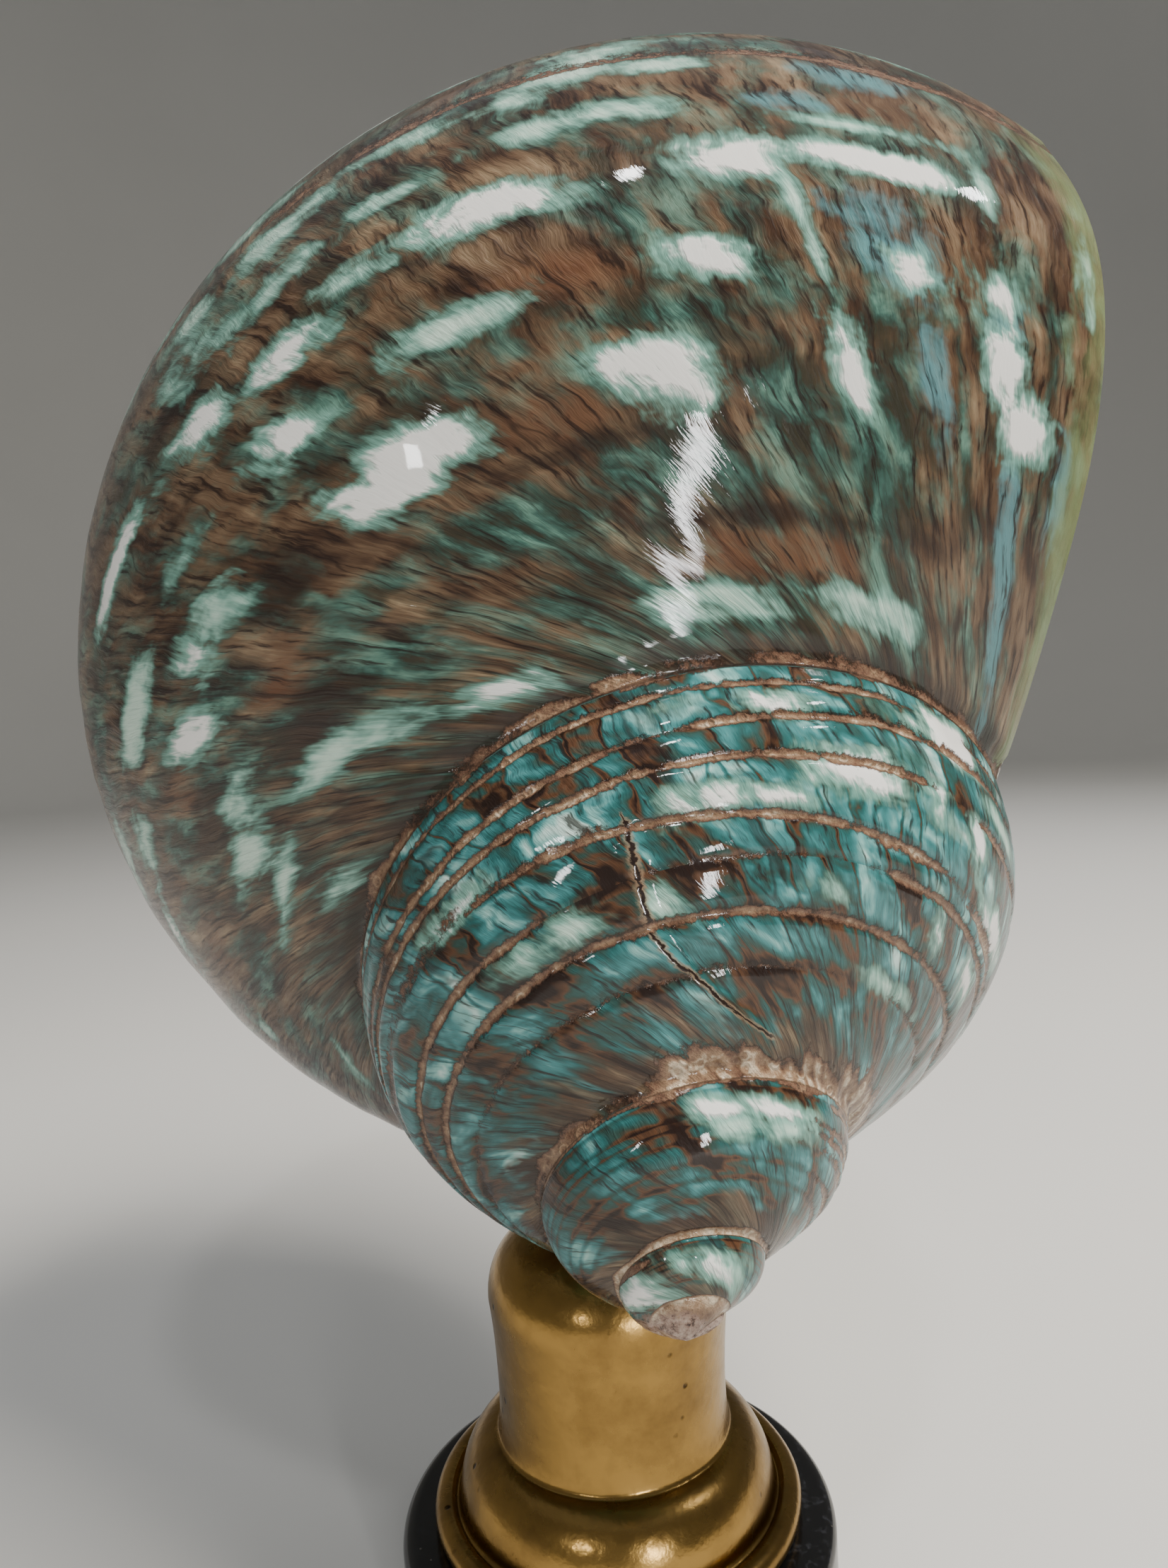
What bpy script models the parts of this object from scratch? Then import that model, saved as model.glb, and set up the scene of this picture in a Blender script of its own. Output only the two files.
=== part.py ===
"""A polished green turban shell lying on a small turned brass stand with a round black plinth.

The shell is grown from its suture spiral: the radius and height of the line where each whorl meets the one
before. Every section of a whorl is one curve between two neighbouring sutures, and the sections are swept back
the way growth lines are. Frame: metres, +Z up, origin at the middle of the plinth's underside, and the
photograph looks along +Y.
"""
import math

import bmesh
import bpy
import numpy as np
from mathutils import Matrix, Vector

MM = 0.001
TURN = 2 * math.pi

# Suture spiral in shell axes: +Z runs from the apex to the base. Turn 0 is close to the mouth's upper corner.
SUTURE_TURNS = (-3, -2, -1, 0, 1)
SUTURE_RADIUS_MM = (3.3, 7.2, 16.6, 42.0, 87.1)
SUTURE_HEIGHT_MM = (2.65, 6.8, 17.7, 50.5, 92.5)
FIRST_TURN = -3.75
APEX_CAP_RATIO = 0.35
LIP_ANGLE = -0.13

# Whorl section between two sutures: how far the curve's handles lean out from the chord, and how long they are.
UPPER_LEAN = 0.179
UPPER_HANDLE = 0.382
LOWER_LEAN = 0.582
LOWER_HANDLE = 0.4285
BASE_RADIUS_RATIO = 0.18
BASE_HEIGHT_RATIO = 1.64
BASE_HANDLE = 0.45
COLUMELLA_HANDLE = 0.36
COLUMELLA_RISE = 0.55
COLUMELLA_BOW_MM = 4.0
CALLUS_MM = 26.0
CALLUS_SPREAD = 3.5
CALLUS_FADE = 2.2
UMBILICUS_DEPTH = 0.5

# Growth lines fall back from suture to suture by this part of a turn, and by less at the lip.
LAG_TURNS = 0.175
LAG_QUICK_PART = 0.597
LAG_QUICK_WIDTH = 0.25
LIP_LAG_RATIO = 0.56
LIP_LAG_SPAN = 1.6

# Mesh steps.
STEPS_PER_TURN = 40
WHORL_STEPS = 12
BASE_STEPS = 9
COLUMELLA_STEPS = 4

# The hollow inside the body whorl: angle behind the lip, outer wall, and glaze on the inner side.
HOLLOW_MM = (
    (0.0, 1.0, 0.6),
    (0.06, 2.2, 0.8),
    (0.16, 3.2, 1.0),
    (0.32, 4.0, 1.2),
)
HOLLOW_WALL_MM = 4.2
HOLLOW_GLAZE_MM = 1.3
HOLLOW_RINGS = 17
HOLLOW_ANGLE = 3.7
HOLLOW_END_SHRINK = (0.86, 0.62, 0.32)
HOLLOW_END_PACE = 0.55

# How the shell lies on the stand.
APEX_MM = (6.1, -39.6, 54.3)
SHELL_TURN_DEG = (-53.8, -9.9, -5.5)

# Turned stand, radii and heights in millimetres.
PLINTH_RADIUS = 25.0
PLINTH_HEIGHT = 12.0
PLINTH_EDGE = 1.6
GAP = 0.3
RIM_RADIUS = 21.2
RIM_THICKNESS = 3.0
GROOVE_RADIUS = 18.7
GROOVE_DEPTH = 0.7
GROOVE_WIDTH = 0.5
DOME_LIFT = 2.0
DOME_SINK = 0.6
WAIST_RISE = 4.0
WAIST_INSET = 0.1
DOME_HEIGHT = 7.7
NECK_RADIUS = 13.2
NECK_TOP_RADIUS = 13.8
SHOULDER_HEIGHT = 38.0
CROWN_RISE = 9.35
CROWN_POWER = 2.2
LATHE_STEPS = 40


def clear_scene():
    """Removes every object that the file opened with."""
    for item in list(bpy.data.objects):
        bpy.data.objects.remove(item, do_unlink=True)


def natural_spline(knots, values, x):
    """Natural cubic spline through evenly spaced knots, straight beyond both ends."""
    count = len(knots)
    values = np.array(values, float)
    system = np.eye(count)
    right = np.zeros(count)
    for row in range(1, count - 1):
        system[row, row - 1:row + 2] = (1, 4, 1)
        right[row] = 6 * (values[row - 1] - 2 * values[row] + values[row + 1])
    bend = np.linalg.solve(system, right)
    cell = np.clip(np.floor(x - knots[0]).astype(int), 0, count - 2)
    near = np.clip(x, knots[0], knots[-1])
    b = near - knots[0] - cell
    a = 1 - b
    low = values[cell] - bend[cell] / 6
    high = values[cell + 1] - bend[cell + 1] / 6
    inside = bend[cell] * a**3 / 6 + bend[cell + 1] * b**3 / 6 + low * a + high * b
    first_slope = values[1] - values[0] - bend[1] / 6
    last_slope = values[-1] - values[-2] + bend[-2] / 6
    return inside + np.minimum(x - knots[0], 0) * first_slope + np.maximum(x - knots[-1], 0) * last_slope


def suture(angle):
    """Radius and height of the suture at an angle in radians, in millimetres, on a last axis of two."""
    turn = np.asarray(angle, float) / TURN
    radius = np.exp(natural_spline(SUTURE_TURNS, np.log(SUTURE_RADIUS_MM), turn))
    height = np.exp(natural_spline(SUTURE_TURNS, np.log(SUTURE_HEIGHT_MM), turn))
    return np.stack([radius, height], -1)


def bezier(start, first, second, end, part):
    """Point on a cubic curve; part has the shape of the points without their last axis."""
    p = np.asarray(part, float)[..., None]
    return (1 - p)**3 * start + 3 * (1 - p)**2 * p * first + 3 * (1 - p) * p**2 * second + p**3 * end


def chord_frame(angle):
    """Both sutures of a whorl with the chord's length, direction and outward normal."""
    upper = suture(angle)
    lower = suture(np.asarray(angle) + TURN)
    chord = lower - upper
    length = np.linalg.norm(chord, axis=-1, keepdims=True)
    along = chord / length
    outward = np.stack([along[..., 1], -along[..., 0]], -1)
    return upper, lower, length, along, outward


def whorl_profile(angle, part):
    """Radius and height on the exposed side of a whorl, part 0 at the upper suture and 1 at the lower one."""
    upper, lower, length, along, outward = chord_frame(angle)
    first = upper + length * UPPER_HANDLE * (math.cos(UPPER_LEAN) * along + math.sin(UPPER_LEAN) * outward)
    second = lower + length * LOWER_HANDLE * (-math.cos(LOWER_LEAN) * along + math.sin(LOWER_LEAN) * outward)
    return bezier(upper, first, second, lower, part)


def base_profile(angle, part, swell=0.0):
    """Radius and height on the underside of a whorl, part 0 at the lower suture and 1 at the columella."""
    _, lower, _, along, outward = chord_frame(angle)
    end = lower * np.array([BASE_RADIUS_RATIO, BASE_HEIGHT_RATIO])
    end[..., 1] += swell
    reach = np.linalg.norm(end - lower, axis=-1, keepdims=True)
    first = lower + reach * BASE_HANDLE * (math.cos(LOWER_LEAN) * along - math.sin(LOWER_LEAN) * outward)
    rise = np.array([math.cos(COLUMELLA_RISE), math.sin(COLUMELLA_RISE)])
    second = end + reach * COLUMELLA_HANDLE * rise
    return bezier(lower, first, second, end, part)


def to_space(profile, angle):
    """Turns radius and height into x, y and z in shell axes."""
    radius = profile[..., 0]
    return np.stack([radius * np.cos(angle), radius * np.sin(angle), profile[..., 1]], -1)


def growth_lag(growth, part):
    """Angle by which a growth line has fallen back; growth is the line's own angle at the upper suture."""
    quick = LAG_QUICK_PART * (1 - np.exp(-part / LAG_QUICK_WIDTH)) / (1 - math.exp(-1 / LAG_QUICK_WIDTH))
    shape = quick + (1 - LAG_QUICK_PART) * part
    near_lip = np.clip((growth - LIP_ANGLE + LIP_LAG_SPAN) / LIP_LAG_SPAN, 0, 1)
    ratio = 1 - (1 - LIP_LAG_RATIO) * near_lip**2 * (3 - 2 * near_lip)
    return -LAG_TURNS * TURN * ratio * shape


def callus(angle):
    """Extra height of the base at the columella, where callus covers the twist in front of the mouth."""
    span = TURN + growth_lag(LIP_ANGLE, 1.0)
    share = np.clip((angle - LIP_ANGLE + TURN) / span, 0, 1)
    return CALLUS_MM * (1 + CALLUS_SPREAD * share) * (1 - share)**CALLUS_FADE


def mouth_loop(growth):
    """The closed outline of the living chamber at one growth line, with each point's part of the inner side.

    It runs down the exposed side, along the base, up the columella and back along the whorl before.
    """
    down = np.linspace(0, 1, WHORL_STEPS + 1)
    angle = growth + growth_lag(growth, down)
    exposed = to_space(whorl_profile(angle, down), angle)
    inward = np.linspace(0, 1, BASE_STEPS + 1)
    low_angle = np.full(BASE_STEPS + 1, angle[-1])
    base = to_space(base_profile(low_angle, inward), low_angle)
    high_angle = np.full(BASE_STEPS + 1, growth - TURN)
    glaze_height = CALLUS_MM * suture(growth)[0] / suture(LIP_ANGLE)[0]
    parietal = to_space(base_profile(high_angle, inward, glaze_height), high_angle)[::-1]
    climb = np.linspace(0, 1, COLUMELLA_STEPS + 1)[1:-1, None]
    straight = base[-1] + (parietal[0] - base[-1]) * climb
    outward = straight.mean(0) - exposed[WHORL_STEPS // 2]
    bow = COLUMELLA_BOW_MM * outward / np.linalg.norm(outward)
    columella = straight + np.sin(math.pi * climb) * bow
    points = np.concatenate([exposed, base[1:], columella, parietal[:-1]])
    inner = np.zeros(len(points))
    inner[len(exposed) + BASE_STEPS:] = 1
    inner[0] = 0.5
    inner[len(exposed) + BASE_STEPS - 1] = 0.5
    return points, inner


def drawn_in(points, inner, wall, glaze):
    """Moves a mouth loop towards its middle by the wall on the outer side and the glaze on the inner side."""
    middle = points.mean(0)
    reach = np.linalg.norm(points - middle, axis=1)
    amount = wall + (glaze - wall) * inner
    return middle + (points - middle) * (1 - amount / reach)[:, None]


def grow_outside(mesh):
    """Adds the outer surface of the shell and returns the vertices round its mouth."""
    step = TURN / STEPS_PER_TURN
    last = round((LIP_ANGLE - FIRST_TURN * TURN) / step)
    offset = STEPS_PER_TURN - round(LAG_TURNS * STEPS_PER_TURN)
    down = np.linspace(0, 1, WHORL_STEPS + 1)
    growth = LIP_ANGLE - (last - np.arange(last + 1)) * step
    rows = []
    for value in growth:
        angle = value + growth_lag(value, down)
        points = to_space(whorl_profile(angle, down), angle)
        rows.append([mesh.verts.new(point) for point in points[:-1]])
    for index, row in enumerate(rows):
        if index + offset <= last:
            row.append(rows[index + offset][0])
        else:
            angle = growth[index] + growth_lag(growth[index], 1.0)
            row.append(mesh.verts.new(to_space(whorl_profile(angle, 1.0), angle)))
    for before, after in zip(rows, rows[1:]):
        for a, b, c, d in zip(before, before[1:], after[1:], after):
            mesh.faces.new((a, b, c, d))
    start = [row[0] for row in rows[:offset + 1]] + rows[0][-2:0:-1]
    crown = mesh.verts.new((0, 0, APEX_CAP_RATIO * suture(growth[0])[1]))
    for a, b in zip(start, start[1:] + start[:1]):
        mesh.faces.new((a, b, crown))

    inward = np.linspace(0, 1, BASE_STEPS + 1)
    base_rows = []
    for index in range(last - offset, last + 1):
        angle = growth[index] + growth_lag(growth[index], 1.0)
        points = to_space(base_profile(angle, inward, callus(angle)), angle)
        base_rows.append([rows[index][-1]] + [mesh.verts.new(point) for point in points[1:]])
    for before, after in zip(base_rows, base_rows[1:]):
        for a, b, c, d in zip(before, before[1:], after[1:], after):
            mesh.faces.new((a, b, c, d))
    tip = base_rows[-1][-1].co
    foot = mesh.verts.new((0, 0, tip.z - UMBILICUS_DEPTH * math.hypot(tip.x, tip.y)))
    loop, _ = mouth_loop(LIP_ANGLE)
    first = WHORL_STEPS + 1 + BASE_STEPS
    columella = [mesh.verts.new(point) for point in loop[first:first + COLUMELLA_STEPS - 1]]
    ring = [row[-1] for row in base_rows] + columella
    for a, b in zip(ring, ring[1:] + ring[:1]):
        mesh.faces.new((a, b, foot))
    return rows[-1] + base_rows[-1][1:] + columella + base_rows[0][:0:-1]


def grow_hollow(mesh, rim):
    """Adds the inner surface of the last whorl behind the mouth and closes it at its far end."""
    rings = list(HOLLOW_MM)
    first = HOLLOW_MM[-1][0]
    pace = (HOLLOW_ANGLE - first) / HOLLOW_RINGS
    rings += [(first + pace * count, HOLLOW_WALL_MM, HOLLOW_GLAZE_MM) for count in range(1, HOLLOW_RINGS + 1)]
    before = rim
    for back, wall, glaze in rings:
        points, inner = mouth_loop(LIP_ANGLE - back)
        points = drawn_in(points, inner, wall, glaze)
        before = join_ring(mesh, before, points)
    for count, share in enumerate(HOLLOW_END_SHRINK, 1):
        points, inner = mouth_loop(LIP_ANGLE - HOLLOW_ANGLE - HOLLOW_END_PACE * pace * count)
        points = drawn_in(points, inner, HOLLOW_WALL_MM, HOLLOW_GLAZE_MM)
        middle = points.mean(0)
        before = join_ring(mesh, before, middle + (points - middle) * share)
    end = mesh.verts.new(sum((vert.co for vert in before), Vector()) / len(before))
    for a, b in zip(before, before[1:] + before[:1]):
        mesh.faces.new((a, b, end))


def join_ring(mesh, before, points):
    """Adds a ring of points and joins it to the ring before."""
    ring = [mesh.verts.new(point) for point in points]
    for index in range(len(ring)):
        mesh.faces.new((before[index - 1], before[index], ring[index], ring[index - 1]))
    return ring


def finish(name, mesh, material, crease_deg=40):
    """Makes a named object from a closed mesh, smooth except along sharp edges."""
    bmesh.ops.recalc_face_normals(mesh, faces=mesh.faces)
    limit = math.radians(crease_deg)
    for face in mesh.faces:
        face.smooth = True
    for edge in mesh.edges:
        edge.smooth = edge.calc_face_angle(0) < limit
    data = bpy.data.meshes.new(name)
    mesh.to_mesh(data)
    mesh.free()
    data.materials.append(material)
    item = bpy.data.objects.new(name, data)
    bpy.context.scene.collection.objects.link(item)
    return item


def principled(name, colour, roughness, metallic=0.0, coat=0.0):
    """Plain Principled material."""
    material = bpy.data.materials.new(name)
    material.use_nodes = True
    shader = material.node_tree.nodes["Principled BSDF"]
    shader.inputs["Base Color"].default_value = (*colour, 1)
    shader.inputs["Roughness"].default_value = roughness
    shader.inputs["Metallic"].default_value = metallic
    shader.inputs["Coat Weight"].default_value = coat
    return material


def build_shell():
    """The whole shell as one closed solid with its mouth open."""
    mesh = bmesh.new()
    grow_hollow(mesh, grow_outside(mesh))
    rotation = Matrix.Identity(4)
    for value, axis in zip(SHELL_TURN_DEG, "XYZ"):
        rotation = Matrix.Rotation(math.radians(value), 4, axis) @ rotation
    place = Matrix.Translation(Vector(APEX_MM) * MM) @ rotation @ Matrix.Scale(MM, 4)
    bmesh.ops.transform(mesh, matrix=place, verts=mesh.verts)
    polished = principled("polished_turban_shell", (0.22, 0.20, 0.15), 0.18, coat=0.5)
    return finish("turbo_shell", mesh, polished)


def arc(centre, radius, start_deg, end_deg, steps):
    """Points on an arc in the profile plane."""
    angles = [math.radians(start_deg + (end_deg - start_deg) * index / steps) for index in range(steps + 1)]
    return [(centre[0] + radius * math.cos(a), centre[1] + radius * math.sin(a)) for a in angles]


def lathe(name, profile, material):
    """Turns a profile from axis to axis, in millimetres, round +Z into a closed solid."""
    mesh = bmesh.new()
    low = mesh.verts.new((0, 0, profile[0][1] * MM))
    high = mesh.verts.new((0, 0, profile[-1][1] * MM))
    rings = []
    for radius, height in profile[1:-1]:
        angles = [TURN * index / LATHE_STEPS for index in range(LATHE_STEPS)]
        ring = [(radius * math.cos(a) * MM, radius * math.sin(a) * MM, height * MM) for a in angles]
        rings.append([mesh.verts.new(point) for point in ring])
    for before, after in zip(rings, rings[1:]):
        for index in range(LATHE_STEPS):
            mesh.faces.new((before[index - 1], before[index], after[index], after[index - 1]))
    for index in range(LATHE_STEPS):
        mesh.faces.new((rings[0][index], rings[0][index - 1], low))
        mesh.faces.new((rings[-1][index - 1], rings[-1][index], high))
    return finish(name, mesh, material)


def build_plinth():
    """Round black plinth with rounded edges and a flat underside."""
    edge = PLINTH_EDGE
    inner = PLINTH_RADIUS - edge
    profile = [(0, 0)]
    profile += arc((inner + edge / 2, edge / 2), edge / 2, -90, 0, 3)
    profile += arc((inner, PLINTH_HEIGHT - edge), edge, 0, 90, 5)
    profile += [(0, PLINTH_HEIGHT)]
    stone = principled("polished_black_stone", (0.012, 0.012, 0.013), 0.12, coat=0.3)
    return lathe("black_plinth", profile, stone)


def build_stand():
    """Turned brass foot and neck: a beaded rim, a low dome and a short neck with a rounded top."""
    bottom = PLINTH_HEIGHT + GAP
    bead = RIM_THICKNESS / 2
    bead_centre = RIM_RADIUS - bead
    dome_foot = bottom + RIM_THICKNESS - DOME_SINK
    dome_top = bottom + DOME_LIFT + DOME_HEIGHT
    profile = [(0, bottom), (bead_centre - 0.4, bottom)]
    profile += arc((bead_centre, bottom + bead), bead, -60, 100, 6)
    profile += [(GROOVE_RADIUS, bottom + RIM_THICKNESS - GROOVE_DEPTH)]
    for index in range(7):
        rise = math.radians(8 + 76 * index / 6)
        radius = NECK_RADIUS + (GROOVE_RADIUS - GROOVE_WIDTH - NECK_RADIUS) * math.cos(rise)
        profile.append((radius, dome_foot + (dome_top - dome_foot) * math.sin(rise)))
    waist = dome_top + WAIST_RISE
    waist_radius = NECK_RADIUS - WAIST_INSET
    profile += [(NECK_RADIUS, dome_top + WAIST_RISE / 5), (waist_radius, waist)]
    for index in range(1, 4):
        climb = index / 3
        radius = waist_radius + (NECK_TOP_RADIUS - waist_radius) * climb**2
        profile.append((radius, waist + (SHOULDER_HEIGHT - waist) * climb))
    for index in range(1, 9):
        turn = math.radians(90 * index / 9)
        radius = NECK_TOP_RADIUS * math.cos(turn)**(2 / CROWN_POWER)
        profile.append((radius, SHOULDER_HEIGHT + CROWN_RISE * math.sin(turn)**(2 / CROWN_POWER)))
    profile += [(0, SHOULDER_HEIGHT + CROWN_RISE)]
    brass = principled("polished_brass", (0.62, 0.42, 0.14), 0.22, metallic=1.0)
    return lathe("brass_stand", profile, brass)


clear_scene()
build_shell()
build_stand()
build_plinth()
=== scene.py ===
"""A polished green turban shell on its turned brass and black stand, dressed for a studio picture.

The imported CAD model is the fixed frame. The shell is grown again here from the same suture spiral as the CAD
solid, in a much finer mesh that carries the raised spiral threads, the crust along the sutures, the healed
crack and the worn tip. Every mark on it is laid out along the shell's own growth: an angle round the spiral
and a part of the way across the whorl. The brass foot and the plinth are turned again from their own
profiles.
"""
from __future__ import annotations

import logging
import math
from dataclasses import dataclass, field
from enum import Enum
from typing import Any, Sequence

import bpy
import numpy as np
from bpy.types import Material, Node, NodeSocket, NodeTree, Object
from mathutils import Euler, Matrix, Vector

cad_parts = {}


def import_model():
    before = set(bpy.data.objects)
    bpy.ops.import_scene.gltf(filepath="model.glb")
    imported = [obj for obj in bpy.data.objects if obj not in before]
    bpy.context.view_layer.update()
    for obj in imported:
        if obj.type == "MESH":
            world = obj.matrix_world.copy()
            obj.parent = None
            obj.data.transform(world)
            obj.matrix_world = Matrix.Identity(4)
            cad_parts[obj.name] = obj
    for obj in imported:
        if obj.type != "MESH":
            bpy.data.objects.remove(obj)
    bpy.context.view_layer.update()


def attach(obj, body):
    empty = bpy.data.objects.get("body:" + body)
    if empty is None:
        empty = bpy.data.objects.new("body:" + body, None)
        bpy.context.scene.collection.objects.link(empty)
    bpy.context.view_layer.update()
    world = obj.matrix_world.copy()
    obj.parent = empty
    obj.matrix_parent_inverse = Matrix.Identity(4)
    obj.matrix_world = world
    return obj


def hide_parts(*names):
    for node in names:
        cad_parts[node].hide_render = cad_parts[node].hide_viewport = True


MM = 0.001
TURN = 2 * math.pi
LOG = logging.getLogger("turban_shell")

Array = np.ndarray
Profile = list[tuple[float, float]]
Stops = tuple[tuple[float, str], ...]


class Tint(Enum):
    """Colour families of the shell's marks, each kept in a mesh attribute of the same name."""

    WHITE = "white"
    MINT = "mint"
    TEAL = "teal"
    BLUE = "blue"
    WARM = "warm"
    DARK = "dark"
    CRUST = "crust"


class Region(Enum):
    """Which side of the shell wall a vertex belongs to, as a value of the attribute pearl."""

    OUTSIDE = 0.0
    LINING = 1.0


def linear(code: str) -> tuple[float, float, float, float]:
    """Turns an sRGB hex colour into linear red, green, blue and full alpha.

    Args:
        code: six hex digits with or without a leading #.

    Returns:
        Linear colour with alpha 1.
    """
    digits = code.lstrip("#")
    parts = [int(digits[index:index + 2], 16) / 255 for index in (0, 2, 4)]
    out = [part / 12.92 if part <= 0.04045 else ((part + 0.055) / 1.055)**2.4 for part in parts]
    return (out[0], out[1], out[2], 1.0)


def add_node(tree: NodeTree, kind: str, inputs: dict[Any, Any] | None = None,
             **settings: Any) -> Node:
    """Adds a node with its settings, and sets or links its inputs.

    Args:
        tree: node tree that takes the node.
        kind: Blender's name of the node type, without the ShaderNode before it.
        inputs: value or output socket for each input, by name or number.
        settings: properties of the node itself.

    Returns:
        The new node.
    """
    node = tree.nodes.new("ShaderNode" + kind)
    for name, value in settings.items():
        setattr(node, name, value)
    for name, value in (inputs or {}).items():
        if isinstance(value, NodeSocket):
            tree.links.new(value, node.inputs[name])
        else:
            node.inputs[name].default_value = value
    return node


def inputs_of(*values: Any) -> dict[Any, Any]:
    """Numbers a node's inputs in their order, for add_node."""
    return dict(enumerate(values))


def new_material(name: str) -> tuple[Material, NodeTree, Node]:
    """Starts a node material, and returns it with its tree and its shader."""
    made = bpy.data.materials.new(name)
    made.use_nodes = True
    return made, made.node_tree, made.node_tree.nodes["Principled BSDF"]


def mesh_object(name: str, points: Array, faces: list[list[int]], material: Material) -> Object:
    """Makes a smooth-shaded mesh object of one material and puts it into the scene.

    Args:
        name: name of the object and of its mesh.
        points: positions in metres.
        faces: vertex numbers of each face.
        material: what the faces are dressed in.

    Returns:
        The new object.
    """
    data = bpy.data.meshes.new(name)
    data.from_pydata(points.tolist(), [], faces)
    data.validate()
    data.polygons.foreach_set("use_smooth", np.ones(len(data.polygons), bool))
    data.materials.append(material)
    item = bpy.data.objects.new(name, data)
    bpy.context.scene.collection.objects.link(item)
    return item


def ring_points(radius: Array | float, angle: Array, height: float) -> list[list[float]]:
    """Points of one level ring round +Z."""
    return np.stack([radius * np.cos(angle), radius * np.sin(angle), np.full(len(angle), height)],
                    -1).tolist()


def value_noise(x: Array, y: Array, seed: int) -> Array:
    """Smooth repeatable noise on a unit lattice.

    Args:
        x: first coordinate, in lattice cells.
        y: second coordinate, in lattice cells.
        seed: picks the lattice.

    Returns:
        Values from -1 to 1, in the shape of x.
    """
    size = 256
    table = np.random.default_rng(seed).uniform(-1, 1, (size, size))
    cell_x = np.floor(x).astype(int)
    cell_y = np.floor(y).astype(int)
    part_x = x - cell_x
    part_y = y - cell_y
    part_x = part_x**2 * (3 - 2 * part_x)
    part_y = part_y**2 * (3 - 2 * part_y)
    left, right = cell_x % size, (cell_x + 1) % size
    near, far = cell_y % size, (cell_y + 1) % size
    low = table[left, near] * (1 - part_x) + table[right, near] * part_x
    high = table[left, far] * (1 - part_x) + table[right, far] * part_x
    return low * (1 - part_y) + high * part_y


def smooth_step(value: Array, low: float, high: float) -> Array:
    """Rises smoothly from 0 at low to 1 at high."""
    share = np.clip((value - low) / (high - low), 0, 1)
    return share**2 * (3 - 2 * share)


def between(value: Array, first: float, full: float, wane: float, last: float) -> Array:
    """Rises smoothly from first to full, and falls again from wane to last."""
    return smooth_step(value, first, full) * (1 - smooth_step(value, wane, last))


def bump_line(distance: Array, width: float) -> Array:
    """Height of a soft ridge of the given half width at a distance from its crest."""
    return np.exp(-(distance / width)**2)


@dataclass(frozen=True)
class Bumps:
    """An unevenness: its amount, its size along and across the whorl in mm, and the seed of its noise."""

    amount: float
    along: float
    across: float
    seed: int

    def at(self, along: Array, over: Array) -> Array:
        """The unevenness at each place, from minus to plus its amount."""
        return self.amount * value_noise(along / self.along, over / self.across, self.seed)


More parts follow.
